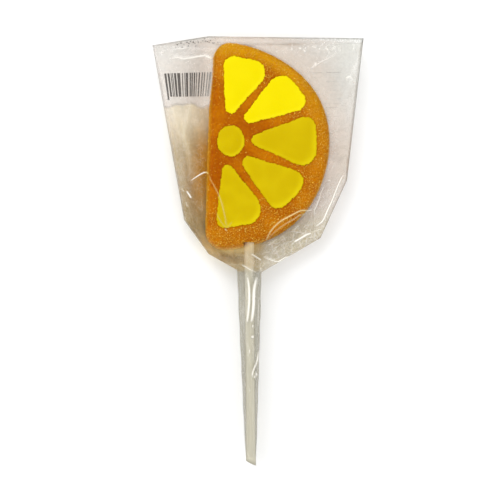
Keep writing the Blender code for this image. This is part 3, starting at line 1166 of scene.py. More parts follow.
@dataclass
class Stick:
    """The straight stick, cut on the slant at its free end."""

    radius: float = 2.0
    length: float = 115.0
    end: Point = (-2.8, -86.0)
    height: float = 6.7
    lean: float = math.radians(0.5)
    cut: float = math.radians(27)
    rim: float = 0.18
    slant_reach: float = 8.0
    shaded_sides_y: Point = (-5.0, -10.0)
    warm_y: Point = (-9.0, -5.0)
    lit_y: Point = (-1.0, 2.0)
    around: int = 56
    rows: int = 70

    def axis_x(self, y: Array) -> Array:
        """Where the stick's axis lies at a distance up the model."""
        return self.end[0] - (y - self.end[1]) * math.tan(self.lean)

    def build(self, finish: bpy.types.Material) -> bpy.types.Object:
        """Makes the stick: rings along its length, the last ones drawn in to a flat slanting end.

        Each ring has the radius of its row, and near the free end it is sheared along Y by the tangent
        of the cut times its distance to the right-hand side.

        Args:
            finish: Its material.

        Returns:
            The new object.
        """
        slack = self.radius * math.tan(self.cut)
        tuck = np.linspace(0.0, math.pi / 2, 5)
        near_y = self.rim * (1 - np.sin(tuck))[::-1]
        near_r = (self.radius - self.rim * (1 - np.cos(tuck)))[::-1]
        along = np.linspace(0.6, self.length - 0.4, self.rows)
        y = np.concatenate([[0.0, 0.0], near_y, along, [self.length]])
        r = np.concatenate([[0.7, 1.3], near_r, np.full(self.rows, self.radius), [self.radius - 0.3]])
        a = np.linspace(0.0, 2 * math.pi, self.around, endpoint=False)
        x = r[:, None] * np.cos(a)[None]
        z = r[:, None] * np.sin(a)[None]
        shear = np.clip(1 - y / self.slant_reach, 0.0, 1.0)[:, None]
        run = y[:, None] + shear * slack * (1 - x / self.radius)
        c, s = math.cos(self.lean), math.sin(self.lean)
        grid = np.dstack([c * x - s * run + self.end[0], s * x + c * run + self.end[1], z + self.height])
        skin = Skin()
        up = grid[..., 1]
        # Painted shade: the stick's sides below the jelly and its cut end go darker.
        sides = np.abs(np.cos(a))[None] ** 4 * smoothstep(up, *self.shaded_sides_y)
        end = smoothstep(y, 1.2, 0.2)[:, None] * np.ones_like(a)[None]
        grime = np.maximum(0.8 * sides, end)
        warm, lit = smoothstep(up, *self.warm_y), smoothstep(up, *self.lit_y)
        skin.add_grid(grid, caps=True, flip=True, grime=grime, warm=warm, lit=lit)
        piece = skin.make("stick_drawn", finish)
        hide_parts("stick")
        return piece


# The bag


@dataclass(frozen=True)
class Crease:
    """A fold line in the film, as the points that it passes.

    Its width is how far from the line it has faded to a third, white is how strong the painted highlight
    along it is, and lift is how far the film stands up there.
    """

    points: tuple[Point, ...]
    width: float = 0.35
    white: float = 0.6
    lift: float = 0.3


@dataclass(frozen=True)
class Crumple:
    """A patch of many small creases round a place."""

    centre: Point
    spread: Point
    heading: float
    wander: float
    count: int
    length: float
    white: float
    lift: float = 0.10
    width: float = 0.36

    def creases(self, draw: np.random.Generator) -> list[Crease]:
        """Short bent lines at random places, most of them along the heading.

        Args:
            draw: Where the random numbers come from.

        Returns:
            The creases.
        """
        made = []
        for _ in range(self.count):
            x, y = draw.normal(self.centre, self.spread)
            a = math.radians(draw.normal(self.heading, self.wander))
            half = self.length * draw.uniform(0.3, 1.0) / 2
            bow = draw.normal(0.0, 0.12) * half
            dx, dy = half * math.cos(a), half * math.sin(a)
            points = ((x - dx, y - dy), (x - bow * math.sin(a), y + bow * math.cos(a)), (x + dx, y + dy))
            width = self.width * draw.uniform(0.6, 1.4)
            made.append(Crease(points, width, self.white * draw.uniform(0.3, 1.0), self.lift))
        return made


# The white along each of these creases is a painted highlight.
BOLD_CREASES = (
    # Lower left: the bright fold that runs on, fainter, over the jelly
    Crease(((-27.0, 27.9), (-24.6, 29.5), (-22.2, 30.9), (-20.6, 31.3), (-19.8, 30.7)), 0.34, 0.95, 0.5),
    Crease(
        ((-19.8, 30.7), (-18.6, 27.9), (-16.6, 24.3), (-15.0, 20.7), (-13.4, 14.7), (-12.6, 9.9)),
        0.30, 0.52, 0.3,
    ),
    Crease(((-28.6, 24.1), (-27.4, 22.3), (-26.6, 21.1)), 0.42, 1.0, 0.5),
    Crease(((-30.6, 25.1), (-29.4, 23.5)), 0.35, 0.5, 0.3),
    Crease(((-29.0, 19.9), (-28.2, 17.5)), 0.35, 0.45, 0.3),
    # Left: a soft fold that runs down beside the jelly, and short ones that reach it
    Crease(
        ((-26.4, 59.2), (-28.0, 53.2), (-29.6, 46.8), (-27.6, 40.8), (-27.2, 34.4), (-28.0, 27.6)),
        1.1, 0.20, 0.4,
    ),
    Crease(((-20.6, 39.4), (-22.6, 41.2), (-25.0, 42.2)), 0.5, 0.10, 0.2),
    Crease(((-20.6, 36.2), (-23.2, 38.6), (-26.6, 40.4)), 0.5, 0.12, 0.2),
    Crease(((-20.6, 32.8), (-23.0, 35.6), (-26.8, 37.2)), 0.5, 0.10, 0.2),
    # Fan of fine lines that meet below the lowest segment
    Crease(((-16.6, 15.1), (-14.6, 11.5), (-12.6, 9.1)), 0.28, 0.30, 0.2),
    Crease(((-14.2, 19.9), (-13.2, 14.5), (-12.2, 9.3)), 0.26, 0.26, 0.2),
    Crease(((-10.2, 11.5), (-11.4, 10.3), (-12.2, 8.9)), 0.26, 0.30, 0.2),
    Crease(((-13.2, 8.9), (-12.4, 7.9)), 0.35, 0.6, 0.2),
    # Lower right: two arcs over the jelly's edge
    Crease(
        ((3.2, 4.2), (5.2, 8.1), (8.8, 11.7), (13.1, 14.1), (17.0, 16.0), (19.8, 16.0), (21.6, 16.4)),
        0.30, 0.80, 0.5,
    ),
    Crease(
        ((4.2, 5.1), (7.7, 8.5), (11.3, 11.0), (14.5, 12.8), (16.3, 14.1), (18.4, 14.6), (20.6, 15.7)),
        0.28, 0.45, 0.3,
    ),
    # Right: long bright folds beside the bag's edge
    Crease(
        ((34.2, 30.7), (32.7, 27.8), (30.9, 23.5), (29.5, 19.9), (27.7, 16.0), (26.3, 12.8),
         (25.2, 11.4), (23.1, 9.9)),
        0.42, 1.0, 0.6,
    ),
    Crease(
        ((26.6, 26.4), (25.2, 23.5), (24.2, 20.3), (23.1, 17.5), (22.4, 16.0), (22.5, 13.5)),
        0.32, 0.62, 0.4,
    ),
    Crease(((28.8, 26.7), (27.7, 23.1), (27.4, 20.3)), 0.30, 0.40, 0.3),
    Crease(((27.7, 27.9), (29.0, 28.3)), 0.35, 0.45, 0.2),
    Crease(((14.2, 3.5), (17.0, 5.1), (19.2, 6.4), (21.3, 7.1)), 0.42, 0.95, 0.5),
    Crease(((22.0, 7.8), (25.9, 8.9)), 0.34, 0.45, 0.3),
    Crease(((2.4, -2.2), (4.8, -3.3), (7.7, -4.3), (9.2, -3.6), (11.3, -2.5), (14.2, -2.2)), 0.36, 0.75, 0.4),
    # Across the stick, where the bag is gathered to it
    Crease(((-2.8, -1.1), (-0.7, -2.4), (1.4, -3.7)), 0.34, 0.75, 0.4),
    Crease(((-6.6, -5.5), (-4.8, -6.4), (-3.2, -7.4), (-0.9, -8.5)), 0.34, 0.70, 0.4),
    Crease(((1.0, -6.3), (1.2, -8.5)), 0.45, 0.45, 0.3),
    # Upper right: a faint fold, and small blinks of light
    Crease(((21.2, 72.7), (23.3, 74.2), (26.4, 76.1), (29.4, 77.6), (31.6, 79.1)), 0.30, 0.45, 0.3),
    Crease(((35.0, 69.0), (36.6, 69.7), (38.0, 68.9)), 0.60, 0.75, 0.3),
    Crease(((38.4, 67.9), (39.0, 67.1)), 0.50, 0.55, 0.3),
    Crease(((22.8, 73.5), (23.1, 75.3)), 0.45, 0.50, 0.2),
    Crease(((32.6, 82.7), (32.8, 79.5)), 0.32, 0.45, 0.2),
    Crease(((40.2, 82.6), (39.8, 77.0)), 0.34, 0.40, 0.2),
    Crease(((38.6, 83.0), (38.3, 79.6)), 0.34, 0.35, 0.2),
    # Upper left: folds along the seal
    Crease(
        ((-35.1, 76.7), (-32.3, 77.3), (-29.9, 76.7), (-27.4, 77.0), (-24.4, 77.4), (-22.5, 77.7),
         (-21.0, 77.7), (-19.4, 77.0), (-18.2, 76.5)),
        0.42, 0.85, 0.5,
    ),
    Crease(((-32.6, 80.7), (-30.2, 80.9), (-28.0, 81.1)), 0.40, 0.55, 0.3),
    Crease(((-39.0, 79.1), (-37.4, 79.7)), 0.60, 0.45, 0.3),
    # Down the sleeve
    Crease(((-4.2, -10.1), (-3.6, -14.5), (-3.5, -19.5), (-4.0, -25.5), (-4.4, -28.9)), 0.62, 0.95, 0.2),
    Crease(((-0.6, -10.5), (-1.6, -15.7), (-1.8, -21.5), (-2.2, -25.7), (-2.8, -28.7)), 0.80, 1.0, 0.3),
    Crease(((0.3, -18.5), (0.1, -24.5), (0.0, -30.5)), 0.30, 0.45, 0.2),
    Crease(((-2.2, -29.9), (-2.0, -30.5)), 0.50, 0.80, 0.2),
    Crease(((-2.8, -34.3), (-1.6, -34.3)), 0.40, 0.80, 0.2),
    Crease(((-3.4, -38.9), (-3.3, -41.1)), 0.45, 0.60, 0.2),
    Crease(((0.2, -39.7), (-0.3, -43.7), (-1.4, -46.5), (-2.2, -48.9), (-2.2, -50.5)), 0.40, 0.90, 0.4),
    Crease(((-2.0, -49.7), (-1.2, -50.1), (-0.2, -48.7)), 0.45, 0.95, 0.4),
    Crease(((-3.3, -54.9), (-3.2, -56.3)), 0.42, 0.60, 0.2),
)

# Patches of small creases, whose white is a painted highlight.
CRUMPLES = (
    Crumple((13.0, 3.5), (7.0, 3.6), 32.0, 12.0, 40, 5.0, 0.22),
    Crumple((24.5, 17.0), (3.4, 6.5), 64.0, 9.0, 30, 8.0, 0.28),
    Crumple((-13.0, -1.0), (5.0, 2.4), -22.0, 22.0, 30, 6.0, 0.20),
    Crumple((-3.0, -4.5), (3.0, 2.6), -20.0, 30.0, 22, 4.0, 0.24),
    Crumple((-25.0, 20.0), (3.0, 8.0), 100.0, 30.0, 30, 4.5, 0.18),
    Crumple((33.0, 78.0), (6.0, 3.0), 20.0, 45.0, 22, 5.0, 0.20),
    Crumple((-31.0, 80.0), (6.0, 1.6), 8.0, 18.0, 14, 7.0, 0.18),
    Crumple((-11.0, 4.5), (6.0, 2.4), -35.0, 40.0, 18, 4.0, 0.16),
    # Pale worn flecks of print along the seal
    Crumple((24.0, 81.2), (6.5, 1.2), 0.0, 180.0, 70, 0.7, 0.75, 0.02, 0.44),
)


@dataclass(frozen=True)
class Places:
    """How far each point of the film belongs to each of its places, from 0 to 1, and its soft folds."""

    label: Array
    column: Array
    corner: Array
    left: Array
    right: Array
    drop: Array
    low: Array
    foot: Array
    low_right: Array
    near: Array
    beside: Array
    by_jelly: Array
    seal: Array
    hem: Array
    seam: Array
    ink_edge: Array
    foot_light: Array
    halo: Array
    fold: Array
    sleeve: Array
    folds: Array


@dataclass(frozen=True)
class FilmMap:
    """Where the film's print, haze, and painted light and shade lie.

    A pair is where a place begins and where it is full, in millimetres along x or y, or away from the
    slice where it is called a gap.
    """

    label_y: float = 58.4
    label_blur: float = 0.5
    column_x: Point = (8.0, 14.0)
    column_y: Point = (24.0, 34.0)
    column_fade_y: Point = (62.0, 36.0)
    corner_x: Point = (24.0, 36.0)
    corner_y: Point = (40.0, 60.0)
    right_x: Point = (-4.0, 6.0)
    drop_y: Point = (58.0, 38.0)
    low_y: Point = (30.0, 4.0)
    foot_y: Point = (11.0, -1.0)
    low_right_x: Point = (-2.0, 8.0)
    low_right_y: Point = (20.0, 6.0)
    near_gap: Point = (11.0, 0.5)
    beside_gap: Point = (0.0, 2.0)
    # How near the slice the painted light at its foot reaches.
    by_jelly_gap: Point = (3.5, 1.0)
    seal_y: Point = (74.0, 80.0)
    seal_gap: Point = (3.0, 9.0)
    hem_y: Point = (83.1, 83.6)
    hem_x: Point = (-20.0, -15.0)
    seam_width: float = 0.32
    seam_left_x: Point = (-19.0, -15.0)
    seam_right_x: Point = (20.0, 15.0)
    ink_edge_rise: float = 0.3
    ink_edge_width: float = 0.36
    ink_edge_x: Point = (-18.0, -20.0)
    # The next five place painted light at the slice's foot and beside it.
    foot_light_gap: float = 0.2
    foot_light_width: float = 1.1
    halo_left: float = 6.0
    halo_right: float = 11.0
    halo_gap: Point = (-0.7, 0.2)
    fold_x: Point = (-26.8, -28.8)
    fold_top_y: Point = (60.0, 50.0)
    fold_foot_y: Point = (24.0, 34.0)
    sleeve_y: Point = (-7.4, -8.6)

    def places(self, plan: Array, away: Array) -> Places:
        """Grades the film into its places by smooth steps, and narrow ones by a bell round a line.

        The label is the white print above a wavering line and all down the right. The folds are a sum of
        sines across the film, from -1 to 1.

        Args:
            plan: (n, 2) array.
            away: Distance of each point from the slice, negative over it.

        Returns:
            The places.
        """
        x, y = plan[:, 0], plan[:, 1]
        line = self.label_y + 0.7 * np.sin(0.42 * x + 1.0) + 0.4 * np.sin(0.9 * x)
        upper = smoothstep(y, line - self.label_blur, line + self.label_blur)
        column = smoothstep(x, *self.column_x)
        label = np.maximum(upper, column * smoothstep(y, *self.column_y))
        right = smoothstep(x, *self.right_x)
        left = (1 - label) * (1 - right)
        foot = smoothstep(y, *self.foot_y)
        low_right = smoothstep(x, *self.low_right_x) * smoothstep(y, *self.low_right_y)
        seam = np.exp(-(((y - self.hem_y[0]) / self.seam_width) ** 2))
        ink_edge = np.exp(-(((y - line - self.ink_edge_rise) / self.ink_edge_width) ** 2))
        # A band along the slice's edge; at its foot it becomes painted light over the jelly's shadow.
        foot_light = np.exp(-(((away - self.foot_light_gap) / self.foot_light_width) ** 2))
        # Beside the slice under the label, for painted light over its shadow.
        reach = self.halo_left + (self.halo_right - self.halo_left) * right
        halo = smoothstep(away / reach, 1.0, 0.03) * smoothstep(away, *self.halo_gap)
        fold = smoothstep(y, *self.fold_top_y) * smoothstep(y, *self.fold_foot_y)
        folds = 0.6 * np.sin(0.95 * x + 0.24 * y + 0.8 * np.sin(0.13 * y))
        return Places(
            label=label,
            column=column * smoothstep(y, *self.column_fade_y),
            corner=smoothstep(x, *self.corner_x) * smoothstep(y, *self.corner_y),
            left=left,
            right=right,
            drop=smoothstep(y, *self.drop_y),
            low=smoothstep(y, *self.low_y),
            foot=foot,
            low_right=low_right,
            near=smoothstep(away, *self.near_gap),
            beside=smoothstep(away, *self.beside_gap),
            # Near the slice's foot, where painted light covers the jelly's shadow.
            by_jelly=foot * smoothstep(away, *self.by_jelly_gap) * (1 - right),
            seal=smoothstep(y, *self.seal_y) * smoothstep(away, *self.seal_gap),
            hem=smoothstep(y, *self.hem_y) * smoothstep(x, *self.hem_x),
            seam=seam * smoothstep(x, *self.seam_left_x) * smoothstep(x, *self.seam_right_x),
            ink_edge=ink_edge * smoothstep(x, *self.ink_edge_x),
            foot_light=foot * (1 - right) * foot_light,
            halo=label * halo * (1 - low_right),
            fold=left * smoothstep(x, *self.fold_x) * fold,
            sleeve=smoothstep(y, *self.sleeve_y),
            folds=folds + 0.4 * np.sin(2.3 * x + 0.4 * y + 1.0),
        )


@dataclass(frozen=True)
class FilmVeilAndPaintedLight:
    """The film's haze and colours, by place.

    The back carries the white print, and low on the left the jelly's painted reflection and painted shade.
    The front is clear, but for the crumpled film low on the right and painted light beside the jelly.
    """

    label: Colour = (0.82, 0.77, 0.70)
    bare: Colour = (0.80, 0.69, 0.45)
    seal: Colour = (0.77, 0.74, 0.69)
    ink_edge: Colour = (0.40, 0.38, 0.34)
    column: Colour = (0.69, 0.63, 0.52)
    corner: Colour = (0.74, 0.74, 0.69)
    # The halo colour is painted light beside the jelly, over its shadow on the film.
    halo: Colour = (0.90, 0.84, 0.76)
    seam: Colour = (0.50, 0.46, 0.40)
    # The next five colours are painted: browner low on the left as painted shade, orange beside the jelly as
    # its painted reflection, lighter and orange at the slice's foot as painted light.
    bare_low: Colour = (0.525, 0.435, 0.24)
    glow: Colour = (0.53, 0.235, 0.006)
    low: Colour = (0.44, 0.37, 0.17)
    foot: Colour = (0.80, 0.65, 0.35)
    by_jelly: Colour = (0.95, 0.72, 0.28)
    low_right: Colour = (0.62, 0.54, 0.30)
    sleeve: Colour = (0.42, 0.39, 0.27)
    sleeve_veils: Point = (0.10, 0.62)

    def veil(self, at: Places, front: Array) -> Array:
        """How much haze and ink hides what lies behind: a weighted sum of the places.

        Args:
            at: The film's places.
            front: Whether each point is one of the front's.

        Returns:
            A (n,) array.
        """
        # Low on the left and near the slice the back's veil thickens, to carry painted shade and the jelly's
        # painted reflection.
        haze = 0.14 + 0.36 * at.drop + 0.40 * at.near * (0.4 + 0.6 * at.drop) + 0.10 * at.low
        back = 0.40 + 0.26 * at.label + 0.10 * at.seal + 0.14 * at.low_right - 0.14 * at.hem
        back += 0.25 * at.seam + 0.20 * at.ink_edge + at.left * haze + 0.025 * at.folds * (0.4 + at.left)
        face = 0.0006 + at.beside * (0.05 + 0.22 * at.low_right + 0.10 * at.low)
        # The pale front veil beside the slice under the label and at its foot is painted light over the
        # jelly's shadow.
        face += 0.30 * at.halo + 0.24 * at.foot_light
        veil = np.where(front, face, np.clip(back, 0.0, 1.05))
        return veil * (1 - at.sleeve) + np.where(front, *self.sleeve_veils) * at.sleeve

    def tint(self, at: Places) -> Array:
        """The haze's colour: each place's own, laid over the ones before it.

        Args:
            at: The film's places.

        Returns:
            A (n, 3) array.
        """
        # The glow is the jelly's painted orange reflection on the film beside it, mostly low on the left.
        glow = at.left * at.near * (0.10 + 0.90 * at.drop**2) * (1 - 0.6 * at.low) * (1 - at.foot)
        layers = (
            (self.bare, at.left),
            (self.seal, at.seal),
            (self.ink_edge, 0.75 * at.ink_edge),
            (self.column, at.column),
            (self.corner, at.corner),
            # Pale beside the slice under the label: painted light over its shadow.
            (self.halo, 0.8 * at.halo),
            (self.seam, 0.8 * at.seam),
            # Browner low on the left and orange beside the jelly: painted shade and painted reflection.
            (self.bare_low, at.left * at.drop),
            (self.glow, glow),
            (self.low, 0.8 * at.low * (1 - at.right)),
            # Lighter and orange at the slice's foot: painted light over the jelly's shadow there.
            (self.foot, 0.9 * at.foot * (1 - at.right)),
            (self.by_jelly, at.by_jelly),
            (self.low_right, at.low_right),
            (self.sleeve, at.sleeve),
        )
        tint = np.array(self.label)
        for colour, share in layers:
            tint = blend(tint, colour, share)
        # Lighter and darker along the soft folds on the left, and lighter along the long fold: painted light
        # and shade.
        return tint * (0.97 + 0.09 * at.folds * at.left + 0.10 * at.fold)[:, None]

    def dullness(self, at: Places) -> Array:
        """How far the film loses its gloss beside the jelly."""
        return 0.9 * at.left * at.near * at.drop

    def crumple(self, at: Places) -> Array:
        """How crumpled the film is: the most that any place asks, off the slice and off the sleeve."""
        most = np.maximum.reduce([at.low_right, 0.55 * at.foot, 0.3 * at.left * at.drop, 0.15 * at.seal])
        return at.beside * most * (1 - at.sleeve)


@dataclass
class Bag:
    """The clear bag: a taut pouch over the slice that runs down into a sleeve on the stick."""

    body: Slice
    stick: Stick
    left: tuple[Point, ...] = ((-42.3, 82.4), (-29.6, 12.4), (-19.8, -1.2), (-8.4, -7.6))
    right: tuple[Point, ...] = ((42.3, 85.2), (35.7, 28.4), (25.0, 5.2), (1.4, -8.6))
    top_peak: Point = (-20.0, 86.0)
    seal: float = 2.6
    roof: float = 1.55
    front_rim: tuple[Point, ...] = ((-0.3, 9.0), (0.9, 11.0))
    back_rim: tuple[Point, ...] = ((-0.3, 5.0), (0.9, 6.5))
    neck: Point = (4.8, 3.6)
    sleeve_end: float = -82.4
    sleeve: tuple[Point, ...] = ((-9.6, 4.8), (-23.6, 4.4), (-39.6, 3.8), (-55.6, 3.2), (-71.6, 2.6))
    sleeve_heights: tuple[Point, ...] = ((-14.0, 2.9), (-30.0, 2.35))
    pleat: float = 0.22
    film: float = 0.1
    sag: float = 0.9
    fineness: float = 0.78
    finest: float = 0.25
    front_columns: int = 248
    back_columns: int = 62
    pouch_rows: int = 236
    sleeve_rows: int = 70
    edge_shade_veil: float = 0.35
    plan_map: FilmMap = FilmMap()
    veil_and_light: FilmVeilAndPaintedLight = FilmVeilAndPaintedLight()
    planes: dict[int, Array] = field(init=False)

    def __post_init__(self) -> None:
        """Works out the flat facets of the taut film on the front and on the back."""
        self.planes = {1: self.facets(1), -1: self.facets(-1)}

    def facets(self, side: int) -> Array:
        """Planes of the tightest film round the slice's rim, the bag's edge and the neck.

        The upper half of the smallest convex body round those points is its upper faces, and each
        face's plane is z = a x + b y + c.

        Args:
            side: 1 for the front, -1 for the back, whose heights are taken downwards.

        Returns:
            A (n, 3) array of a, b and c.
        """
        rim = self.body.outline(150)
        levels = (*self.front_rim, (2.6, self.body.thick + self.roof)) if side > 0 else self.back_rim
        middle = self.stick.height - self.body.floor
        rings = []
        for inset, level in levels:
            plan = self.body.to_world(rim - outward(rim) * inset)
            lift = level - middle if side > 0 else level
            rings.append(np.hstack([plan, np.full((len(plan), 1), lift)]))
        edge = np.array([*self.left, self.top_peak, *self.right])
        edge[:, 1] = np.minimum(edge[:, 1], self.top_peak[1] - self.seal)
        rings.append(np.hstack([edge, np.full((len(edge), 1), 0.05)]))
        a = np.linspace(0.0, math.pi, 15)
        x = self.stick.axis_x(self.left[-1][1]) + self.neck[0] * np.cos(a)
        rings.append(np.stack([x, np.full(15, self.left[-1][1]), self.neck[1] * np.sin(a)], axis=1))
        bm = bmesh.new()
        mesh = bpy.data.meshes.new("facets")
        mesh.from_pydata(np.vstack(rings), [], [])
        bm.from_mesh(mesh)
        bmesh.ops.convex_hull(bm, input=bm.verts)
        bm.normal_update()
        up = [f for f in bm.faces if f.normal.z > 0.02]
        planes = [(-f.normal.x / f.normal.z, -f.normal.y / f.normal.z,
                   f.normal.dot(f.verts[0].co) / f.normal.z) for f in up]
        bm.free()
        bpy.data.meshes.remove(mesh)
        return np.array(planes)

    def taut(self, plan: Array, side: int) -> Array:
        """Height of the taut film above the bag's mid plane: the lowest of the facets' planes.

        Args:
            plan: (n, 2) array.
            side: 1 for the front, -1 for the back.

        Returns:
            A (n,) array, not below zero.
        """
        planes = self.planes[side]
        height = plan @ planes[:, :2].T + planes[:, 2]
        return np.maximum(height.min(axis=1), 0.0)

    def pleats(self, plan: Array, share: Array) -> Array:
        """Slack between the slice and the edge: it sags most halfway, by more along some rays than others.

        Args:
            plan: (n, 2) array.
            share: The taut height as a share of its greatest, for each point.

        Returns:
            How far the film falls below the taut one, in millimetres.
        """
        x, y = plan[:, 0] - 4.0, plan[:, 1] - 42.0
        angle = np.arctan2(y, x)
        rays = 0.55 + 0.25 * np.sin(9 * angle + 0.8) + 0.14 * np.sin(17 * angle + 2.2)
        rays += 0.08 * np.sin(31 * angle)
        return 4 * share * (1 - share) * rays * self.sag

    def creased(self, plan: Array, away: Array) -> tuple[Array, Array]:
        """Whiteness, which is a painted highlight, and lift of every crease, each falling off like a bell
        from its line and to its ends.

        Small creases fade where the film clings to the jelly.

        Args:
            plan: (n, 2) array.
            away: Distance of each point from the slice, negative over it.

        Returns:
            The painted highlight's whiteness from 0 to 1, and the lift in millimetres.
        """
        white, lift = np.zeros(len(plan)), np.zeros(len(plan))
        draw = np.random.default_rng(SEED + 2)
        small = [crease for patch in CRUMPLES for crease in patch.creases(draw)]
        loose = 0.12 + 0.88 * smoothstep(away, -0.5, 1.5)
        for crease in [*BOLD_CREASES, *small]:
            path = smooth_path(crease.points)
            width = max(self.finest, self.fineness * crease.width)
            reach = 3 * width
            low, high = path.min(axis=0) - reach, path.max(axis=0) + reach
            near = np.flatnonzero(((plan > low) & (plan < high)).all(axis=1))
            if not len(near):
                continue
            gap, along = path_distance(plan[near], path)
            bell = np.exp(-((gap / width) ** 2)) * np.clip(4 * along * (1 - along), 0.0, 1.0) ** 0.4
            if crease in small:
                bell *= loose[near]
            white[near] = np.maximum(white[near], crease.white * bell)
            lift[near] += crease.lift * bell
        return white, lift

    def pouch_grid(self) -> Array:
        """Plan of the pouch's rings: rows run down both sides together, columns across and back.

        Returns:
            A (rows, front + back columns, 2) array.
        """
        v = np.linspace(0.0, 1.0, self.pouch_rows)[:, None]
        left, right = np.array(self.left), np.array(self.right)
        y_left = left[0, 1] + (left[-1, 1] - left[0, 1]) * v
        y_right = right[0, 1] + (right[-1, 1] - right[0, 1]) * v
        x_left = np.interp(-y_left, -left[:, 1], left[:, 0])
        x_right = np.interp(-y_right, -right[:, 1], right[:, 0])
        u = self.across()
        gather = smoothstep(v, 0.9, 1.0)
        u = u * (1 - gather) + (0.5 - 0.5 * np.cos(math.pi * u)) * gather
        x = x_left + (x_right - x_left) * u
        y = y_left + (y_right - y_left) * u
        line = left[0, 1] + (right[0, 1] - left[0, 1]) * (x - left[0, 0]) / (right[0, 0] - left[0, 0])
        edge = np.interp(x, *np.array([left[0], self.top_peak, right[0]]).T)
        return np.dstack([x, y + (edge - line) * np.clip(1 - v / 0.25, 0.0, 1.0) ** 2])

    def across(self) -> Array:
        """Places across a ring, from 0 at the left edge to 1 at the right and back again.

        Returns:
            A (1, front + back columns) array.
        """
        front = np.linspace(0.0, 1.0, self.front_columns + 1)[:-1]
        back = np.linspace(1.0, 0.0, self.back_columns + 1)[:-1]
        return np.concatenate([front, back])[None, :]

    def sleeve_grid(self) -> Array:
        """Rings of the sleeve: ellipses round the stick that narrow from the neck to the free end.

        Half the width and half the height go smoothly from the neck's to just over the stick's radius,
        and pleats that run lengthwise push the film in and out.

        Returns:
            A (rows, columns, 3) array.
        """
        t = np.linspace(0.0, 1.0, self.sleeve_rows + 1)[1:, None]
        start = self.left[-1][1]
        y = start + (self.sleeve_end - start) * t
        wide = (self.right[-1][0] - self.left[-1][0]) / 2
        close = self.stick.radius + self.film
        widths = np.array([(start, wide), *self.sleeve, (self.sleeve_end, close)])
        half = np.interp(-y, -widths[:, 0], widths[:, 1])
        heights = np.array([(start, self.neck[1]), *self.sleeve_heights, (self.sleeve_end, close)])
        high = np.interp(-y, -heights[:, 0], heights[:, 1])
        u = self.across()
        a = math.pi * u
        side = np.where(np.arange(u.shape[1]) < self.front_columns, 1.0, -1.0)[None]
        spare = smoothstep(half, close, close + 1.2)
        pleat = spare * self.pleat * np.sin(6 * a + 1.3 * np.sin(0.16 * y) + 0.05 * y) * np.sin(a)
        x = self.stick.axis_x(y) - half * np.cos(a) * (1 + 0.02 * np.sin(0.5 * y + 1.0))
        z = side * (high * np.sin(a) ** 0.8 + pleat)
        return np.dstack([x, np.broadcast_to(y, x.shape), z])

    def heights(self, plan: Array, side: int) -> Array:
        """Heights above the mid plane of plan points on one side of the pouch, before its creases.

        Args:
            plan: (n, 2) array.
            side: 1 for the front, -1 for the back.

        Returns:
            A (n,) array.
        """
        tight = self.taut(plan, side)
        top = tight.max()
        if side > 0:
            return tight - self.pleats(plan, np.clip(tight / top, 0.0, 1.0))
        return np.minimum(tight, self.stick.height - 0.08) * (1.0 - 0.02 * np.sin(0.3 * plan[:, 0]))

    def back_level(self, plan: Array) -> Array:
        """Height in the model of the back film's inner face at plan points."""
        return self.stick.height - self.heights(plan, -1) + 0.06

    def pouch(self) -> Array:
        """The pouch's rings in space, above and below the bag's mid plane.

        The heights fall to nothing at both edges, and towards the neck they turn into its oval.

        Returns:
            A (rows, front + back columns, 3) array.
        """
        plan = self.pouch_grid()
        rows, columns = plan.shape[:2]
        u = self.across()
        side = np.where(np.arange(columns) < self.front_columns, 1.0, -1.0)
        flat = plan.reshape(-1, 2)
        front, back = (self.heights(flat, k).reshape(rows, columns) for k in (1, -1))
        height = np.where(side > 0, front, -back) * smoothstep(np.minimum(u, 1 - u), 0.0, 0.012)
        oval = self.neck[1] * np.sin(math.pi * u) ** 0.8 * side
        gather = smoothstep(np.linspace(0.0, 1.0, rows), 0.93, 1.0)[:, None]
        return np.dstack([plan, height * (1 - gather) + oval * gather])

    def build(self, finish: bpy.types.Material) -> bpy.types.Object:
        """Makes the film: one ring of points for each row, from the seal down to the sleeve's end.

        Args:
            finish: Its material.

        Returns:
            The new object.
        """
        grid = np.concatenate([self.pouch(), self.sleeve_grid()])
        shape = grid.shape[:2]
        flat = grid[..., :2].reshape(-1, 2)
        front = np.broadcast_to(np.arange(shape[1]) < self.front_columns, shape)
        away = signed_distance(self.body.to_slice(flat), self.body.outline(120))
        at = self.plan_map.places(flat, away)
        white, lift = (value.reshape(shape) * front for value in self.creased(flat, away))
        cling = smoothstep(away, 1.2, -0.2).reshape(shape)
        dull = np.maximum(cling, self.veil_and_light.dullness(at).reshape(shape))
        crumple = self.veil_and_light.crumple(at).reshape(shape)

        from_edge = np.minimum(self.across(), 1 - self.across())
        grid[..., 2] += lift * smoothstep(from_edge, 0.0, 0.03) + self.stick.height
        from_top = np.arange(shape[0])[:, None]
        # Painted shade: the film goes hazier and darker along the bag's edges and its top row.
        rim = np.maximum(smoothstep(from_edge, 0.011, 0.002), smoothstep(from_top, 2.0, 0.0)) * self.edge_shade_veil
        veil = np.clip(self.veil_and_light.veil(at, front.ravel()).reshape(shape) + rim, 0.0, 1.0)
        tint = self.veil_and_light.tint(at).reshape(*shape, 3) * (1 - rim)[..., None]
        skin = Skin()
        kept = {"crease": white, "cling": cling, "dull": dull, "crumple": crumple}
        skin.add_grid(grid, flip=True, veil=veil, tint=tint, **kept)
        piece = skin.make("bag_film", finish)
        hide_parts("bag")
        return piece


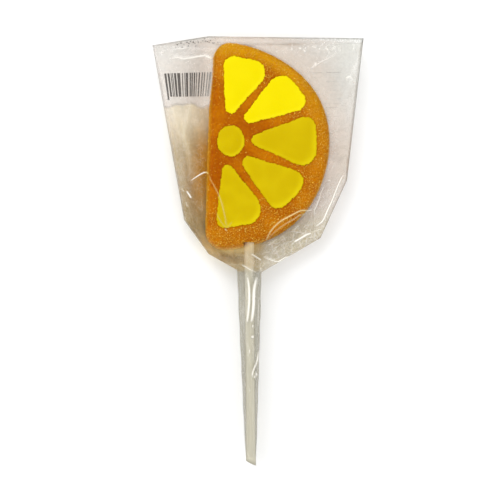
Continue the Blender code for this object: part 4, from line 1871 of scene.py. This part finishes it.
@dataclass
class BackPrint:
    """Ink on the back film: a block of bars, two columns of pale strips and scattered dots."""

    bag: Bag
    bars_top: tuple[Point, Point] = ((-37.6, 71.2), (-18.7, 72.2))
    bars_low: tuple[Point, Point] = ((-36.2, 61.9), (-19.9, 62.4))
    bar_count: int = 18
    bar_widths: tuple[float, ...] = (0.8, 1.2, 1.9, 2.8)
    bar_gaps: tuple[float, ...] = (0.6, 1.0, 1.6)
    long_bars: tuple[Point, Point] = ((0.0, 0.04), (0.46, 0.52))
    long_bar_drop: float = 1.3
    line_pitch: float = 1.75
    line_top: float = 71.6
    line_foot: float = 34.0
    heavy_lines: tuple[int, ...] = (0, 8, 14)
    strips_left: float = 20.5
    strips_right: float = 36.834
    left_drift: float = 0.08
    right_drift: float = -0.115
    split: float = 0.42
    dot_count: int = 26
    dots_x: Point = (-33.0, -16.5)
    cell: float = 1.5

    def patch(self, skin: Skin, corners: Array, dark: float) -> None:
        """Adds a four-sided mark that lies on the back film: a bilinear grid lifted to the film's height.

        Args:
            skin: Where it goes.
            corners: (4, 2) array: low left, low right, top right, top left.
            dark: Its darkness, from 0 to 1.
        """
        across = max(2, int(np.ptp(corners[:, 0]) / self.cell) + 2)
        along = max(2, int(np.ptp(corners[:, 1]) / self.cell) + 2)
        u = np.linspace(0.0, 1.0, across)[None, :, None]
        v = np.linspace(0.0, 1.0, along)[:, None, None]
        low = corners[0] * (1 - u) + corners[1] * u
        high = corners[3] * (1 - u) + corners[2] * u
        plan = low * (1 - v) + high * v
        z = self.bag.back_level(plan.reshape(-1, 2)).reshape(plan.shape[:2])
        skin.add_grid(np.dstack([plan, z]), wrap=False, dark=np.full(z.shape, dark))

    def bars(self, skin: Skin) -> None:
        """Upright bars of random widths between the block's two sides.

        Args:
            skin: Where they go.
        """
        draw = np.random.default_rng(SEED + 3)
        widths = draw.choice(self.bar_widths, self.bar_count, p=[0.3, 0.3, 0.2, 0.2])
        gaps = draw.choice(self.bar_gaps, self.bar_count, p=[0.45, 0.35, 0.2])
        starts = np.cumsum(widths + gaps) - widths - gaps
        total = starts[-1] + widths[-1]
        low, high = np.array(self.bars_low), np.array(self.bars_top)
        for start, width in zip(starts / total, widths / total):
            ends = [start, start + width]
            drop = self.long_bar_drop if any(a <= start < b for a, b in self.long_bars) else 0.0
            bottom = [low[0] + (low[1] - low[0]) * e - (0.0, drop) for e in ends]
            top = [high[0] + (high[1] - high[0]) * e for e in ends]
            self.patch(skin, np.array([bottom[0], bottom[1], top[1], top[0]]), draw.uniform(0.94, 1.0))

    def strip(self, skin: Skin, x0: float, x1: float, y: float, thick: float, dark: float) -> None:
        """A level strip from x0 to x1."""
        self.patch(skin, np.array([(x0, y), (x1, y), (x1, y + thick), (x0, y + thick)]), dark)

    def lines(self, skin: Skin) -> None:
        """Pale level strips of uneven lengths, in two columns down the right.

        Args:
            skin: Where they go.
        """
        draw = np.random.default_rng(SEED + 4)
        for number, y in enumerate(np.arange(self.line_top, self.line_foot, -self.line_pitch)):
            start = self.strips_left + (self.line_top - y) * self.left_drift
            edge = self.strips_right + (self.line_top - y) * self.right_drift
            split = start + (edge - start) * self.split
            for x0, x1 in ((start, split - 0.8), (split, edge - 2.2)):
                x1 -= draw.uniform(0.0, 0.35) * (x1 - x0)
                heavy = number in self.heavy_lines
                thick, dark = (0.42, 0.24) if heavy else (0.30, draw.uniform(0.0, 0.12))
                self.strip(skin, x0, x1, y, thick, dark)

    def dots(self, skin: Skin) -> None:
        """Small dark dots scattered below the slanting edge of the seal.

        Args:
            skin: Where they go.
        """
        draw = np.random.default_rng(SEED + 5)
        for x in np.linspace(*self.dots_x, self.dot_count) + draw.uniform(-0.3, 0.3, self.dot_count):
            y = 82.9 + 0.17 * (x - self.dots_x[0]) - draw.uniform(0.0, 2.2)
            size = draw.uniform(0.26, 0.55)
            self.strip(skin, x, x + size * draw.uniform(0.8, 1.3), y, size, draw.uniform(0.6, 1.0))

    def build(self, finish: bpy.types.Material) -> bpy.types.Object:
        """Makes all the ink as one mesh.

        Args:
            finish: Its material.

        Returns:
            The new object.
        """
        skin = Skin()
        self.bars(skin)
        self.lines(skin)
        self.dots(skin)
        return skin.make("back_print", finish)


# Floor, light and camera


@dataclass(frozen=True)
class Lamp:
    """A soft square lamp that looks at the middle of the lollipop."""

    name: str
    place: tuple[float, float, float]
    size: float
    watts: float

    def build(self) -> None:
        """Makes the lamp, in metres."""
        light = bpy.data.lights.new(self.name, "AREA")
        light.shape = "SQUARE"
        light.size = self.size
        light.energy = self.watts
        lamp = bpy.data.objects.new(self.name, light)
        bpy.context.scene.collection.objects.link(lamp)
        lamp.location = self.place
        aim_at(lamp, (0.0, 0.01, 0.0))


def aim_at(thing: bpy.types.Object, target: tuple[float, float, float]) -> None:
    """Turns a lamp to look at a place."""
    thing.rotation_euler = (Vector(target) - thing.location).to_track_quat("-Z", "Y").to_euler()


@dataclass(frozen=True)
class Studio:
    """A plain pale floor, soft lamps round the sides and a camera that looks straight down."""

    floor_size: float = 4.0
    floor_colour: Colour = (0.95, 0.95, 0.945)
    ambient: float = 0.62
    view_centre: Point = (-3.2, 0.4)
    view_width: float = 200.0
    view_level: float = 8.0
    camera_height: float = 900.0
    lamps: tuple[Lamp, ...] = (
        Lamp("key_top", (-0.25, 0.75, 0.62), 0.80, 5.55),
        Lamp("left", (-0.80, -0.05, 0.50), 0.60, 2.5),
        Lamp("right", (0.80, -0.20, 0.50), 0.60, 2.5),
        Lamp("front", (0.20, -0.85, 0.50), 0.60, 2.2),
    )

    def build(self) -> None:
        """Makes the floor, the world's light, the lamps and the camera."""
        skin = Skin()
        half = self.floor_size / MM / 2
        x, y = np.meshgrid([-half, half], [-half, half])
        skin.add_grid(np.dstack([x, y, np.zeros((2, 2))]), wrap=False)
        mesh = bpy.data.meshes.new("floor")
        mesh.from_pydata(skin.points[0] * MM, [], skin.faces[0].tolist())
        g = Graph("pale_floor")
        tone = g.mix(g.noise(60.0, 3.0), self.floor_colour, tuple(0.985 * c for c in self.floor_colour))
        mesh.materials.append(g.finish(g.principled(Base_Color=tone, Roughness=0.75)))
        floor = bpy.data.objects.new("floor", mesh)
        bpy.context.scene.collection.objects.link(floor)

        world = bpy.data.worlds.new("studio")
        world.use_nodes = True
        world.node_tree.nodes["Background"].inputs["Color"].default_value = WHITE
        world.node_tree.nodes["Background"].inputs["Strength"].default_value = self.ambient
        bpy.context.scene.world = world
        for lamp in self.lamps:
            lamp.build()

        data = bpy.data.cameras.new("camera")
        data.sensor_width = 36.0
        distance = self.camera_height - self.view_level
        data.lens = data.sensor_width * distance / self.view_width
        camera = bpy.data.objects.new("camera", data)
        bpy.context.scene.collection.objects.link(camera)
        camera.location = (self.view_centre[0] * MM, self.view_centre[1] * MM, self.camera_height * MM)
        bpy.context.scene.camera = camera
        bpy.context.scene.view_settings.view_transform = "Standard"


def main() -> None:
    """Builds the sub-assemblies in order."""
    logging.basicConfig(level=logging.INFO, format="%(name)s: %(message)s")
    Studio().build()

    stick = Stick()
    body = Slice(inlays=Fan().inlays(), stick=stick)
    body.build(OrangeJelly().build())
    # One yellow in two copies: painted lit for the upper segments, painted shaded for the rest.
    bright = YellowJelly("yellow_jelly_painted_lit", (0.775, 0.645, 0.0008), (0.845, 0.72, 0.006)).build()
    painted_shaded = YellowJelly("yellow_jelly_painted_shade", (0.552, 0.400, 0.0008), (0.690, 0.558, 0.004)).build()
    for inlay in body.inlays:
        inlay.build(body, bright if inlay.bright else painted_shaded)
    Sugar().build(body, SugarGrain().build())

    stick.build(StickPlastic().build())
    bag = Bag(body, stick)
    bag.build(ClearFilm().build())
    BackPrint(bag).build(PackInk().build())


if __name__ == "__main__":
    main()
